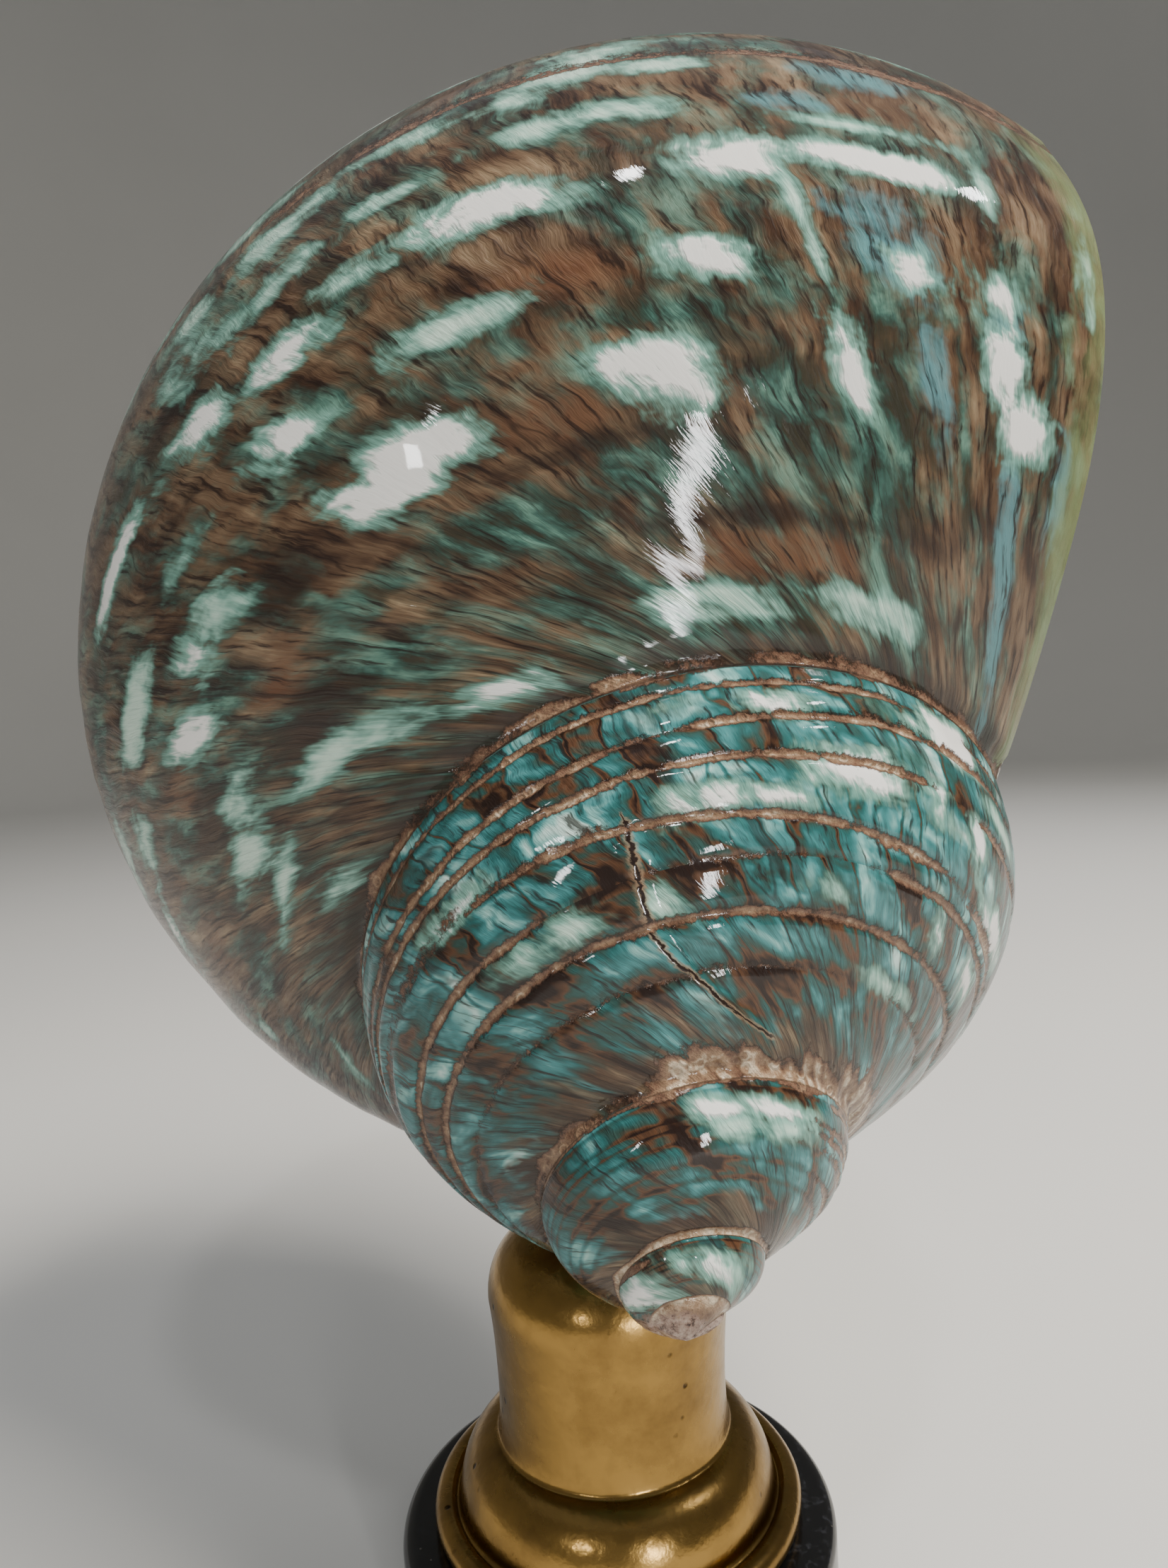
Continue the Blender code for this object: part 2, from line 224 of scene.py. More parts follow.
@dataclass(frozen=True)
class ShellGrowth:
    """The growth law of the shell, with the sizes of the CAD solid. Lengths in millimetres in shell axes."""

    suture_turns: tuple[int, ...] = (-3, -2, -1, 0, 1)
    suture_radius: tuple[float, ...] = (3.3, 7.2, 16.6, 42.0, 87.1)
    suture_height: tuple[float, ...] = (2.65, 6.8, 17.7, 50.5, 92.5)
    first_turn: float = -3.75
    cap_ratio: float = 0.35
    lip_angle: float = -0.13
    upper_lean: float = 0.179
    upper_handle: float = 0.382
    lower_lean: float = 0.582
    lower_handle: float = 0.4285
    base_ratio: tuple[float, float] = (0.18, 1.64)
    base_handle: float = 0.45
    columella_handle: float = 0.36
    columella_rise: float = 0.55
    columella_bow: float = 4.0
    callus_height: float = 26.0
    callus_spread: float = 3.5
    callus_fade: float = 2.2
    umbilicus_depth: float = 0.5
    lag_turns: float = 0.175
    lag_quick_part: float = 0.597
    lag_quick_width: float = 0.25
    lip_lag_ratio: float = 0.56
    lip_lag_span: float = 1.6
    section_bulge: float = 1.12
    apex: tuple[float, float, float] = (6.1, -39.6, 54.3)
    turn_deg: tuple[float, float, float] = (-53.8, -9.9, -5.5)

    def spline(self, values: Sequence[float], turn: Array) -> Array:
        """Natural cubic spline through the suture's turns, straight beyond both ends.

        Args:
            values: value at each of the suture's turns.
            turn: where to read it.

        Returns:
            The spline's value at each turn.
        """
        knots = self.suture_turns
        count = len(knots)
        level = np.array(values, float)
        system = np.eye(count)
        right = np.zeros(count)
        for row in range(1, count - 1):
            system[row, row - 1:row + 2] = (1, 4, 1)
            right[row] = 6 * (level[row - 1] - 2 * level[row] + level[row + 1])
        bend = np.linalg.solve(system, right)
        cell = np.clip(np.floor(turn - knots[0]).astype(int), 0, count - 2)
        after = np.clip(turn, knots[0], knots[-1]) - knots[0] - cell
        before = 1 - after
        low = level[cell] - bend[cell] / 6
        high = level[cell + 1] - bend[cell + 1] / 6
        inside = bend[cell] * before**3 / 6 + bend[cell + 1] * after**3 / 6 + low * before + high * after
        first_slope = level[1] - level[0] - bend[1] / 6
        last_slope = level[-1] - level[-2] + bend[-2] / 6
        before_first = np.minimum(turn - knots[0], 0) * first_slope
        after_last = np.maximum(turn - knots[-1], 0) * last_slope
        return inside + before_first + after_last

    def suture(self, angle: Array) -> Array:
        """Radius and height of the suture at an angle, on a last axis of two."""
        turn = np.asarray(angle, float) / TURN
        radius = np.exp(self.spline(np.log(self.suture_radius), turn))
        height = np.exp(self.spline(np.log(self.suture_height), turn))
        return np.stack([radius, height], -1)

    @staticmethod
    def bezier(start: Array, first: Array, second: Array, end: Array,
               part: Array) -> Array:
        """Point on a cubic curve for each part."""
        p = np.asarray(part, float)[..., None]
        q = 1 - p
        return q**3 * start + 3 * q**2 * p * first + 3 * q * p**2 * second + p**3 * end

    def girth(self, turn: Array) -> Array:
        """Length of one turn along the middle of the whorl."""
        return TURN * self.suture(turn * TURN + 0.5 * TURN)[..., 0]

    def chord(self, angle: Array) -> tuple[Array, ...]:
        """Both sutures of a whorl, with the chord's length, direction and outward normal."""
        upper = self.suture(angle)
        lower = self.suture(np.asarray(angle) + TURN)
        chord = lower - upper
        length = np.linalg.norm(chord, axis=-1, keepdims=True)
        along = chord / length
        outward = np.stack([along[..., 1], -along[..., 0]], -1)
        return upper, lower, length, along, outward

    def whorl_profile(self, angle: Array, part: Array) -> Array:
        """Radius and height on the exposed side, part 0 at the upper suture and 1 at the lower one."""
        upper, lower, length, along, outward = self.chord(angle)
        lean = self.upper_lean
        first = upper + length * self.upper_handle * (math.cos(lean) * along + math.sin(lean) * outward)
        lean = self.lower_lean
        second = lower + length * self.lower_handle * (-math.cos(lean) * along + math.sin(lean) * outward)
        return self.bezier(upper, first, second, lower, part)

    def base_profile(self, angle: Array, part: Array, swell: Any = 0.0) -> Array:
        """Radius and height on the underside, part 0 at the lower suture and 1 at the columella."""
        _, lower, _, along, outward = self.chord(angle)
        end = lower * np.array(self.base_ratio)
        end[..., 1] += swell
        reach = np.linalg.norm(end - lower, axis=-1, keepdims=True)
        lean = self.lower_lean
        first = lower + reach * self.base_handle * (math.cos(lean) * along - math.sin(lean) * outward)
        rise = np.array([math.cos(self.columella_rise), math.sin(self.columella_rise)])
        return self.bezier(lower, first, end + reach * self.columella_handle * rise, end, part)

    @staticmethod
    def in_space(profile: Array, angle: Array) -> Array:
        """Turns radius and height into x, y and z in shell axes."""
        radius = profile[..., 0]
        return np.stack([radius * np.cos(angle), radius * np.sin(angle), profile[..., 1]], -1)

    def lag(self, growth: Array, part: Array) -> Array:
        """Angle by which a growth line has fallen back at a part of the section."""
        width = self.lag_quick_width
        quick = self.lag_quick_part * (1 - np.exp(-part / width)) / (1 - math.exp(-1 / width))
        shape = quick + (1 - self.lag_quick_part) * part
        near = np.clip((growth - self.lip_angle + self.lip_lag_span) / self.lip_lag_span, 0, 1)
        ratio = 1 - (1 - self.lip_lag_ratio) * near**2 * (3 - 2 * near)
        return -self.lag_turns * TURN * ratio * shape

    def callus(self, angle: Array) -> Array:
        """Extra height of the base at the columella in front of the mouth."""
        span = TURN + self.lag(self.lip_angle, 1.0)
        share = np.clip((angle - self.lip_angle + TURN) / span, 0, 1)
        return self.callus_height * (1 + self.callus_spread * share) * (1 - share)**self.callus_fade

    def exposed(self, growth: Array, part: Array) -> Array:
        """Point of the exposed side for a growth angle and a part of the section."""
        angle = growth + self.lag(growth, part)
        return self.in_space(self.whorl_profile(angle, part), angle)

    def base(self, growth: Array, inward: Array) -> Array:
        """Point of the base for a growth angle and a part of the way from lower suture to columella."""
        angle = growth + self.lag(growth, 1.0)
        return self.in_space(self.base_profile(angle, inward, self.callus(angle)), angle)

    def section_length(self, growth: Array) -> Array:
        """Length of the exposed section from suture to suture."""
        _, _, length, _, _ = self.chord(growth)
        return length[..., 0] * self.section_bulge

    def to_world(self, points: Array) -> Array:
        """Places points of the shell's axes in the shared frame, in metres."""
        turn = Euler([math.radians(value) for value in self.turn_deg], "XYZ").to_matrix()
        return (points @ np.array(turn).T + np.array(self.apex)) * MM


@dataclass(frozen=True)
class Mark:
    """One patch of colour on the shell, by growth in turns and part across; half sizes in millimetres."""

    growth: float
    across: float
    along: float
    wide: float
    tint: Tint


def marks(tint: Tint, *rows: tuple[float, float, float, float]) -> list[Mark]:
    """Marks of one tint from rows of growth, part across and the two half sizes."""
    return [Mark(*row, tint) for row in rows]


@dataclass(frozen=True)
class ShellMarks:
    """Where the large marks lie, placed on the side that shows and strewn by rule round the back."""

    placed: tuple[Mark, ...] = tuple(
        # Body whorl: the large white patches in the middle, then the bar and the patches towards the lip.
        marks(Tint.WHITE,
              (-0.131, 0.735, 4.4, 2.1), (-0.125, 0.412, 3.4, 3.4), (-0.172, 0.425, 4.0, 2.9),
              (-0.181, 0.405, 4.0, 2.4), (-0.187, 0.715, 2.8, 2.0), (-0.170, 0.690, 3.0, 1.6),
              (-0.184, 0.565, 2.0, 1.7), (-0.107, 0.580, 2.0, 1.8), (-0.094, 0.745, 3.6, 2.2),
              (-0.073, 0.765, 7.4, 1.6), (-0.050, 0.500, 1.9, 3.2), (-0.044, 0.425, 3.0, 3.0),
              (-0.052, 0.600, 1.4, 2.0), (-0.070, 0.590, 1.3, 1.6), (-0.088, 0.420, 1.2, 4.0),
              (-0.220, 0.735, 5.5, 1.3), (-0.266, 0.417, 2.2, 2.2), (-0.242, 0.060, 2.0, 1.0),
              (-0.240, 0.470, 1.6, 1.6))
        # Rows of pale spots along the top and the left shoulder.
        + marks(Tint.MINT,
                (-0.106, 0.980, 4.2, 1.8), (-0.116, 0.955, 1.8, 1.6), (-0.115, 0.861, 3.0, 1.3),
                (-0.105, 0.857, 4.0, 1.1), (-0.129, 0.960, 2.6, 1.2), (-0.139, 0.846, 2.6, 1.1),
                (-0.147, 0.950, 2.2, 1.8), (-0.156, 0.945, 2.0, 2.0), (-0.155, 0.838, 2.4, 1.1),
                (-0.161, 0.820, 2.4, 1.4), (-0.154, 0.734, 2.0, 1.2), (-0.173, 0.930, 2.0, 2.8),
                (-0.171, 0.830, 1.6, 2.4), (-0.184, 0.849, 1.2, 2.0), (-0.148, 0.573, 4.2, 1.9),
                (-0.202, 0.710, 1.8, 1.2), (-0.215, 0.575, 2.4, 1.0), (-0.226, 0.463, 3.0, 2.2),
                (-0.243, 0.575, 1.6, 1.4), (-0.267, 0.131, 2.4, 1.6), (-0.050, 0.761, 1.0, 3.0),
                (-0.095, 0.969, 3.0, 1.3), (-0.088, 0.640, 0.7, 9.0), (-0.161, 0.085, 6.5, 1.6),
                (-0.105, 0.090, 5.0, 1.8), (-0.071, 0.834, 5.0, 0.7), (-0.026, 0.720, 1.0, 5.0))
        # Sea-green zones: the smooth lake below the middle and the streaks beside it.
        + marks(Tint.TEAL,
                (-0.177, 0.263, 5.6, 2.8), (-0.191, 0.131, 4.6, 1.8), (-0.161, 0.075, 7.6, 2.8),
                (-0.093, 0.097, 3.0, 4.6), (-0.089, 0.280, 2.6, 6.4), (-0.103, 0.330, 2.4, 7.5),
                (-0.135, 0.282, 6.0, 2.6), (-0.207, 0.282, 3.4, 1.8), (-0.273, 0.290, 3.6, 2.8),
                (-0.114, 0.720, 1.2, 8.0), (-0.136, 0.430, 1.2, 3.6), (-0.175, 0.571, 2.2, 1.2),
                (-0.120, 0.500, 6.0, 1.2), (-0.228, 0.200, 4.0, 1.6), (-0.252, 0.360, 3.0, 2.0),
                (-0.292, 0.180, 3.0, 2.0), (-0.018, 0.560, 1.0, 7.0), (-0.305, 0.420, 3.6, 3.0),
                (-0.078, 0.420, 0.8, 12.0), (-0.062, 0.300, 0.7, 12.0), (-0.098, 0.560, 0.9, 9.0),
                (-0.036, 0.560, 0.8, 9.0), (-0.082, 0.250, 0.7, 9.0), (-0.110, 0.380, 0.8, 9.0),
                (-0.240, 0.150, 3.0, 2.4), (-0.262, 0.480, 2.6, 2.2), (-0.280, 0.360, 2.0, 2.0))
        + marks(Tint.BLUE,
                (-0.047, 0.200, 1.2, 11.0), (-0.069, 0.440, 1.3, 5.5), (-0.050, 0.550, 1.6, 2.6),
                (-0.072, 0.600, 2.8, 2.6), (-0.066, 0.960, 3.4, 1.7), (-0.080, 0.870, 2.2, 1.4),
                (-0.074, 0.680, 2.6, 1.6), (-0.030, 0.380, 0.8, 5.0))
        # Orange-brown where the polish has gone deeper, and the dark bands that sweep to the right.
        + marks(Tint.WARM,
                (-0.127, 0.590, 8.0, 1.8), (-0.121, 0.150, 8.5, 1.8), (-0.143, 0.390, 6.0, 2.2),
                (-0.245, 0.300, 4.0, 2.2), (-1.095, 0.560, 1.6, 1.4), (-1.098, 0.700, 2.4, 1.8),
                (-1.250, 0.250, 5.0, 2.2), (-1.010, 0.640, 2.6, 1.2))
        + marks(Tint.DARK,
                (-0.127, 0.205, 8.0, 1.0), (-0.092, 0.195, 6.0, 1.1), (-0.215, 0.402, 4.2, 2.8),
                (-0.140, 0.700, 3.0, 0.8), (-0.118, 0.655, 1.0, 5.5), (-0.150, 0.330, 7.0, 0.9),
                (-0.262, 0.220, 6.0, 3.4), (-0.300, 0.330, 6.0, 4.0), (-0.235, 0.520, 4.0, 1.2),
                (-0.112, 0.480, 0.7, 8.0), (-0.097, 0.700, 0.7, 5.0), (-0.083, 0.500, 0.6, 9.0),
                (-0.205, 0.640, 3.2, 0.8), (-0.165, 0.640, 4.0, 0.7), (-0.195, 0.790, 3.0, 0.8),
                (-1.190, 0.230, 5.5, 1.6), (-1.020, 0.215, 4.5, 1.3), (-1.080, 0.130, 3.0, 1.0),
                (-2.100, 0.350, 2.4, 1.2))
        # Spire: white blocks between the threads, then the pale patches of the two small whorls.
        + marks(Tint.WHITE,
                (-1.065, 0.643, 1.6, 1.2), (-1.043, 0.650, 1.4, 1.1), (-1.020, 0.640, 3.0, 1.0),
                (-1.173, 0.668, 2.8, 1.3), (-0.933, 0.700, 1.5, 1.9), (-0.902, 0.680, 1.5, 2.4),
                (-0.934, 0.900, 1.3, 1.0), (-0.999, 0.880, 1.9, 1.0), (-0.934, 0.430, 0.8, 1.7),
                (-2.010, 0.820, 2.4, 0.7), (-1.950, 0.815, 2.8, 0.8), (-3.008, 0.550, 1.5, 1.0),
                (-3.235, 0.520, 2.0, 2.2))
        + marks(Tint.MINT,
                (-1.014, 0.417, 1.7, 1.2), (-1.101, 0.405, 1.3, 1.6), (-1.145, 0.430, 2.4, 1.3),
                (-1.179, 0.430, 2.0, 1.3), (-1.040, 0.900, 1.6, 0.8), (-2.000, 0.720, 3.2, 1.2),
                (-1.940, 0.720, 2.8, 1.2), (-2.950, 0.500, 1.8, 1.4))
    )
    rows: tuple[float, ...] = (0.05, 0.15, 0.27, 0.42, 0.57, 0.70, 0.80, 0.90)
    base_rows: tuple[float, ...] = (1.05, 1.16, 1.28, 1.41, 1.55)
    back: tuple[float, float] = (-1.02, -0.285)
    base_end: float = -0.03
    gap_mm: tuple[float, float] = (8, 20)
    scatter: float = 0.03
    scale: tuple[float, float] = (0.6, 1.1)
    half_length_mm: tuple[float, float] = (3, 7)
    half_width_mm: tuple[float, float] = (1.4, 3.2)
    chances: tuple[Tint, ...] = (Tint.WHITE, Tint.MINT, Tint.MINT, Tint.TEAL, Tint.TEAL, Tint.WARM, Tint.DARK)
    seed: int = 11
    # Marks are ovals with fuller corners. Their signed distances stop at the limit, in millimetres.
    corner_power: float = 2.4
    depth_share: float = 0.8
    limit: float = 3.0
    near_turns: float = 0.2
    # The crinkled skin above the large suture is dark.
    dark_width: float = 2.6
    dark_turns: tuple[float, float] = (-0.9, -0.7)
    dark_most: float = 1.5

    def strewn(self, growth: ShellGrowth) -> list[Mark]:
        """Marks for the side that the photograph doesn't show, in the same spiral rows.

        Args:
            growth: the growth law, for the length of a turn.

        Returns:
            Marks along each row at uneven steps.
        """
        rng = np.random.default_rng(self.seed)
        found = []
        for across in self.rows + self.base_rows:
            turn = self.back[0]
            while turn < (self.base_end if across > 1 else self.back[1]):
                radius = growth.whorl_profile(np.array(turn * TURN), np.array(min(across, 1.0)))[0]
                turn += rng.uniform(*self.gap_mm) / (TURN * radius)
                tint = rng.choice(list(self.chances))
                size = rng.uniform(*self.scale) * (radius / 60)**0.5
                place = (turn, across + rng.uniform(-self.scatter, self.scatter))
                half = [size * rng.uniform(*span) for span in (self.half_length_mm, self.half_width_mm)]
                found.append(Mark(*place, *half, tint))
        return found

    def fields(self, growth: ShellGrowth, turn: Array, across: Array,
               length: Array) -> dict[str, Array]:
        """Signed distances to the marks of each tint, in millimetres, positive inside.

        Args:
            growth: the growth law.
            turn: growth of each vertex in turns.
            across: part across, 1 to 2 on the base.
            length: length of the section at each vertex.

        Returns:
            One array for each tint's name.
        """
        fields = {tint.value: np.full(turn.shape, -self.limit) for tint in Tint}
        for mark in list(self.placed) + self.strewn(growth):
            angle = np.array(mark.growth * TURN)
            radius = growth.whorl_profile(angle, np.array(min(mark.across, 1.0)))[0]
            near = np.abs(turn - mark.growth) < self.near_turns
            x = (turn[near] - mark.growth) * TURN * radius / mark.along
            y = (across[near] - mark.across) * length[near] / mark.wide
            oval = (np.abs(x)**self.corner_power + np.abs(y)**self.corner_power)**(1 / self.corner_power)
            depth = (1 - oval) * math.sqrt(mark.along * mark.wide) * self.depth_share
            known = fields[mark.tint.value]
            known[near] = np.maximum(known[near], np.clip(depth, -self.limit, self.limit))
        below = (self.dark_width - across * length) * smooth_step(turn, *self.dark_turns)
        dark = np.clip(below, -self.limit, self.dark_most)
        fields[Tint.DARK.value] = np.maximum(fields[Tint.DARK.value], dark)
        return fields


@dataclass(frozen=True)
class Thread:
    """One raised spiral thread: its part across, how far that drifts back along the whorl, and its height."""

    across: float
    drift: float = 0.0
    height: float = 0.42
    width: float = 0.62


@dataclass(frozen=True)
class ShellRelief:
    """Low relief of the shell that shows from close by. Lengths in millimetres, growth in turns."""

    threads: tuple[Thread, ...] = (
        Thread(0.945, 0.0, 0.40, 0.55),
        Thread(0.842, 0.24, 0.44),
        Thread(0.745, 0.0, 0.46),
        Thread(0.592, -0.40, 0.46),
        Thread(0.490, 0.0, 0.44),
        Thread(0.355, -0.08, 0.40),
        Thread(0.235, 0.0, 0.20, 0.5),
    )
    thread_middle: float = -1.03
    thread_span: tuple[float, float, float, float] = (-1.98, -1.80, -0.86, -0.74)
    crack: tuple[tuple[float, float], ...] = (
        (-1.086, 0.640), (-1.090, 0.600), (-1.097, 0.525), (-1.107, 0.436), (-1.117, 0.355),
        (-1.122, 0.274), (-1.118, 0.232), (-1.117, 0.178), (-1.112, 0.127), (-1.099, 0.085),
    )
    # Each thread wavers, is lumpy and has worn gaps, by a noise of its own lane.
    waver: Bumps = Bumps(0.16, 2.2, 1.0, 3)
    lumps: Bumps = Bumps(0.34, 0.9, 1.0, 5)
    gaps: Bumps = Bumps(1.0, 11.0, 1.0, 8)
    lanes: tuple[float, float, float] = (7.3, 3.1, 5.7)
    thread_mean: float = 0.78
    gap_range: tuple[float, float] = (-0.75, -0.35)
    # The crack is a step and a groove, and fades out at both ends.
    crack_step: float = 0.35
    crack_soft: float = 0.5
    crack_fade: float = 2.2
    crack_groove: float = 0.45
    crack_width: float = 0.45
    crack_ends: tuple[float, float, float, float] = (0.06, 0.12, 0.60, 0.66)
    # A lumpy ridge runs beside the suture.
    suture_rise: float = 0.50
    suture_width: float = 0.75
    suture_spread: float = 0.62
    suture_mean: float = 0.75
    suture_lumps: tuple[Bumps, Bumps] = (Bumps(0.45, 1.3, 1.25, 21), Bumps(0.3, 4.5, 5.0, 22))
    # The body whorl has wrinkles and swells, the spire less of both, and the tip is pitted.
    wrinkle: Bumps = Bumps(0.10, 1.9, 14.0, 31)
    swell: Bumps = Bumps(0.22, 13.0, 30.0, 32)
    pitted: Bumps = Bumps(0.16, 0.8, 0.9, 33)
    spire_share: float = 0.35
    body_turns: tuple[float, float] = (-1.02, -0.9)
    pitted_turns: tuple[float, float] = (2.85, 3.1)
    fade: tuple[float, float, float, float] = (0.0, 0.03, 0.97, 1.0)
    # Section length at which the relief has its full height, and the limits of its scale elsewhere.
    full_section: float = 34.0
    scale_range: tuple[float, float] = (0.12, 1.3)

    def thread_place(self, thread: Thread, turn: Array) -> Array:
        """Part across where a thread lies at each turn."""
        drift = np.clip(turn - self.thread_middle, -0.15, 0.15)
        return thread.across + thread.drift * drift

    def thread_field(self, turn: Array, part: Array, length: Array, along: Array) -> Array:
        """Height of all threads.

        Args:
            turn: growth in turns.
            part: part across the whorl.
            length: length of the section there.
            along: length along the whorl, for breaks and lumps.

        Returns:
            Height in millimetres.
        """
        total = np.zeros_like(turn)
        for index, thread in enumerate(self.threads):
            waver, lumps, gaps = (bumps.at(along, np.full_like(along, index * lane)) for bumps, lane
                                  in zip((self.waver, self.lumps, self.gaps), self.lanes))
            off = (part - self.thread_place(thread, turn)) * length + waver
            height = thread.height * (self.thread_mean + lumps) * smooth_step(gaps, *self.gap_range)
            total = np.maximum(total, height * bump_line(off, thread.width))
        return total * between(turn, *self.thread_span)

    def band_of(self, turn: Array, across: Array) -> Array:
        """Number of the band between two threads, running smoothly from suture to suture."""
        least = 1e-3
        band, below = np.zeros_like(turn), np.zeros_like(turn)
        for index, thread in enumerate(sorted(self.threads, key=lambda item: item.across)):
            place = self.thread_place(thread, turn)
            share = (across - below) / np.maximum(place - below, least)
            band = np.where(across >= below, index + share, band)
            below = place
        share = (across - below) / np.maximum(1 - below, least)
        return np.where(across >= below, len(self.threads) + share, band)

    def crack_distance(self, turn: Array, part: Array, length: Array,
                       turn_mm: Array) -> Array:
        """Signed distance to the healed crack, positive on the side of the mouth."""
        best = np.full(turn.shape, 99.0)
        for (g0, u0), (g1, u1) in zip(self.crack, self.crack[1:]):
            x = (turn - g0) * turn_mm
            y = (part - u0) * length
            dx = (g1 - g0) * turn_mm
            dy = (u1 - u0) * length
            share = np.clip((x * dx + y * dy) / (dx * dx + dy * dy), 0, 1)
            off = np.hypot(x - share * dx, y - share * dy)
            side = np.where(x * dy - y * dx < 0, 1.0, -1.0)
            best = np.where(off < np.abs(best), side * off, best)
        return best

    def height(self, turn: Array, part: Array, along: Array, length: Array,
               girth: Array) -> Array:
        """Relief of the exposed side above the smooth whorl.

        Args:
            turn: growth in turns.
            part: part across the whorl.
            along: length along the whorl.
            length: length of the section.
            girth: length of one turn of the whorl.

        Returns:
            Height in millimetres.
        """
        scale = np.clip(length / self.full_section, *self.scale_range)
        height = self.thread_field(turn, part, length, along) * np.minimum(scale, 1)
        over = part * length
        off = over / np.maximum(scale, 0.4)
        lumps = self.suture_mean + sum(bumps.at(along, off) for bumps in self.suture_lumps)
        ridge = bump_line(off - self.suture_width, self.suture_spread) * self.suture_rise * lumps
        height = height + ridge * np.clip(scale, 0.2, 1.0)
        off = self.crack_distance(turn, part, length, girth)
        step = self.crack_step * np.tanh(off / self.crack_soft) * np.exp(-np.abs(off) / self.crack_fade)
        groove = self.crack_groove * bump_line(off, self.crack_width)
        height = height + (step - groove) * between(part, *self.crack_ends)
        body = smooth_step(turn, *self.body_turns)
        skin = self.wrinkle.at(along, over) * (self.spire_share + (1 - self.spire_share) * body)
        skin = skin + self.swell.at(along, over) * body
        skin = skin + self.pitted.at(along, over) * smooth_step(-turn, *self.pitted_turns)
        return height + skin * between(part, *self.fade) * np.clip(scale, 0.3, 1)


@dataclass(frozen=True)
class ShellCrust:
    """Where the polish left the old crust: on the threads, along the sutures, and in a band of worm coils.

    Ranges across the whorl are in millimetres, from full crust to none.
    """

    on_threads: float = 0.85
    thread_height: float = 0.42
    ragged: Bumps = Bumps(0.8, 3.0, 2.0, 41)
    gaps: Bumps = Bumps(0.45, 5.0, 10.0, 42)
    gap_mean: float = 0.75
    edge: float = 0.62
    edge_range: tuple[float, float] = (0.5, 1.5)
    below: float = 0.5
    below_range: tuple[float, float] = (0.15, 0.6)
    worm_turns: tuple[float, float, float, float] = (-1.26, -1.2, -0.87, -0.80)
    worm_range: tuple[float, float] = (0.6, 3.6)
    worm_reach: float = 2.2
    wider_turns: tuple[float, float] = (-1.04, -0.97)
    coils: Bumps = Bumps(0.45, 0.9, 0.9, 43)
    coil_mean: float = 0.78
    early: float = 0.9
    early_turns: tuple[float, float] = (1.95, 2.05)
    early_range: tuple[float, float] = (0.8, 2.2)
    full_section: float = 34.0
    scale_range: tuple[float, float] = (0.35, 1.0)

    def amount(self, threads: Array, turn: Array, part: Array, along: Array,
               length: Array) -> Array:
        """How much rough cream crust covers each vertex.

        Args:
            threads: height of the threads.
            turn: growth in turns.
            part: part across the whorl.
            along: length along the whorl.
            length: length of the section.

        Returns:
            Share of crust from 0 to 1.
        """
        over = part * length
        off = over / np.clip(length / self.full_section, *self.scale_range)
        ragged = self.ragged.at(along, off)
        gaps = self.gap_mean + self.gaps.at(along, off)
        edge = self.edge * gaps * (1 - smooth_step(off + ragged, *self.edge_range))
        below = self.below * (1 - smooth_step((1 - part) * length + ragged, *self.below_range))
        wider = self.worm_reach * (ragged - smooth_step(turn, *self.wider_turns))
        worm = between(turn, *self.worm_turns) * (1 - smooth_step(off + wider, *self.worm_range))
        worm = worm * (self.coil_mean + self.coils.at(along, over))
        early = smooth_step(-turn, *self.early_turns) * (1 - smooth_step(off + ragged, *self.early_range))
        on_threads = self.on_threads * threads / self.thread_height
        return np.clip(np.max([on_threads, edge, below, worm, self.early * early], axis=0), 0, 1)


@dataclass(frozen=True)
class Side:
    """The exposed side as a grid: one row for each growth line, and in it the parts across the whorl."""

    growth: Array
    turn: Array
    part: Array
    along: Array
    length: Array
    points: Array


@dataclass
class ShellMesh:
    """Vertices and faces of the shell, with what each vertex knows about its place in the growth."""

    points: list[Array] = field(default_factory=list)
    facts: list[Array] = field(default_factory=list)
    faces: list[Array] = field(default_factory=list)
    fans: list[Array] = field(default_factory=list)
    count: int = 0

    def add(self, points: Array, *facts: Any, region: Region = Region.OUTSIDE, crust: Any = 0.0) -> Array:
        """Adds vertices.

        Args:
            points: positions on a last axis of three.
            facts: turn, part across, length along and length across of each vertex.
            region: side of the wall.
            crust: rough crust on each vertex.

        Returns:
            The vertices' numbers in the shape of the points.
        """
        shape = points.shape[:-1]
        size = int(np.prod(shape))
        known = (*facts, region.value, crust)
        self.points.append(points.reshape(size, 3))
        self.facts.append(np.stack([np.broadcast_to(fact, shape).reshape(size) for fact in known], -1))
        numbers = np.arange(self.count, self.count + size).reshape(shape)
        self.count += size
        return numbers

    def join(self, grid: Array) -> None:
        """Adds the four-sided faces between the rows of a grid of vertex numbers."""
        self.faces += [quads(before, after) for before, after in zip(grid, grid[1:])]

    def close(self, ring: Array, middle: Array) -> None:
        """Closes a ring of vertex numbers with three-sided faces round a middle vertex."""
        self.fans.append(np.stack([ring, np.roll(ring, -1), np.full(len(ring), middle[0])], -1))


def quads(before: Array, after: Array) -> Array:
    """Faces between two rows of vertex numbers."""
    return np.stack([before[:-1], before[1:], after[1:], after[:-1]], -1)


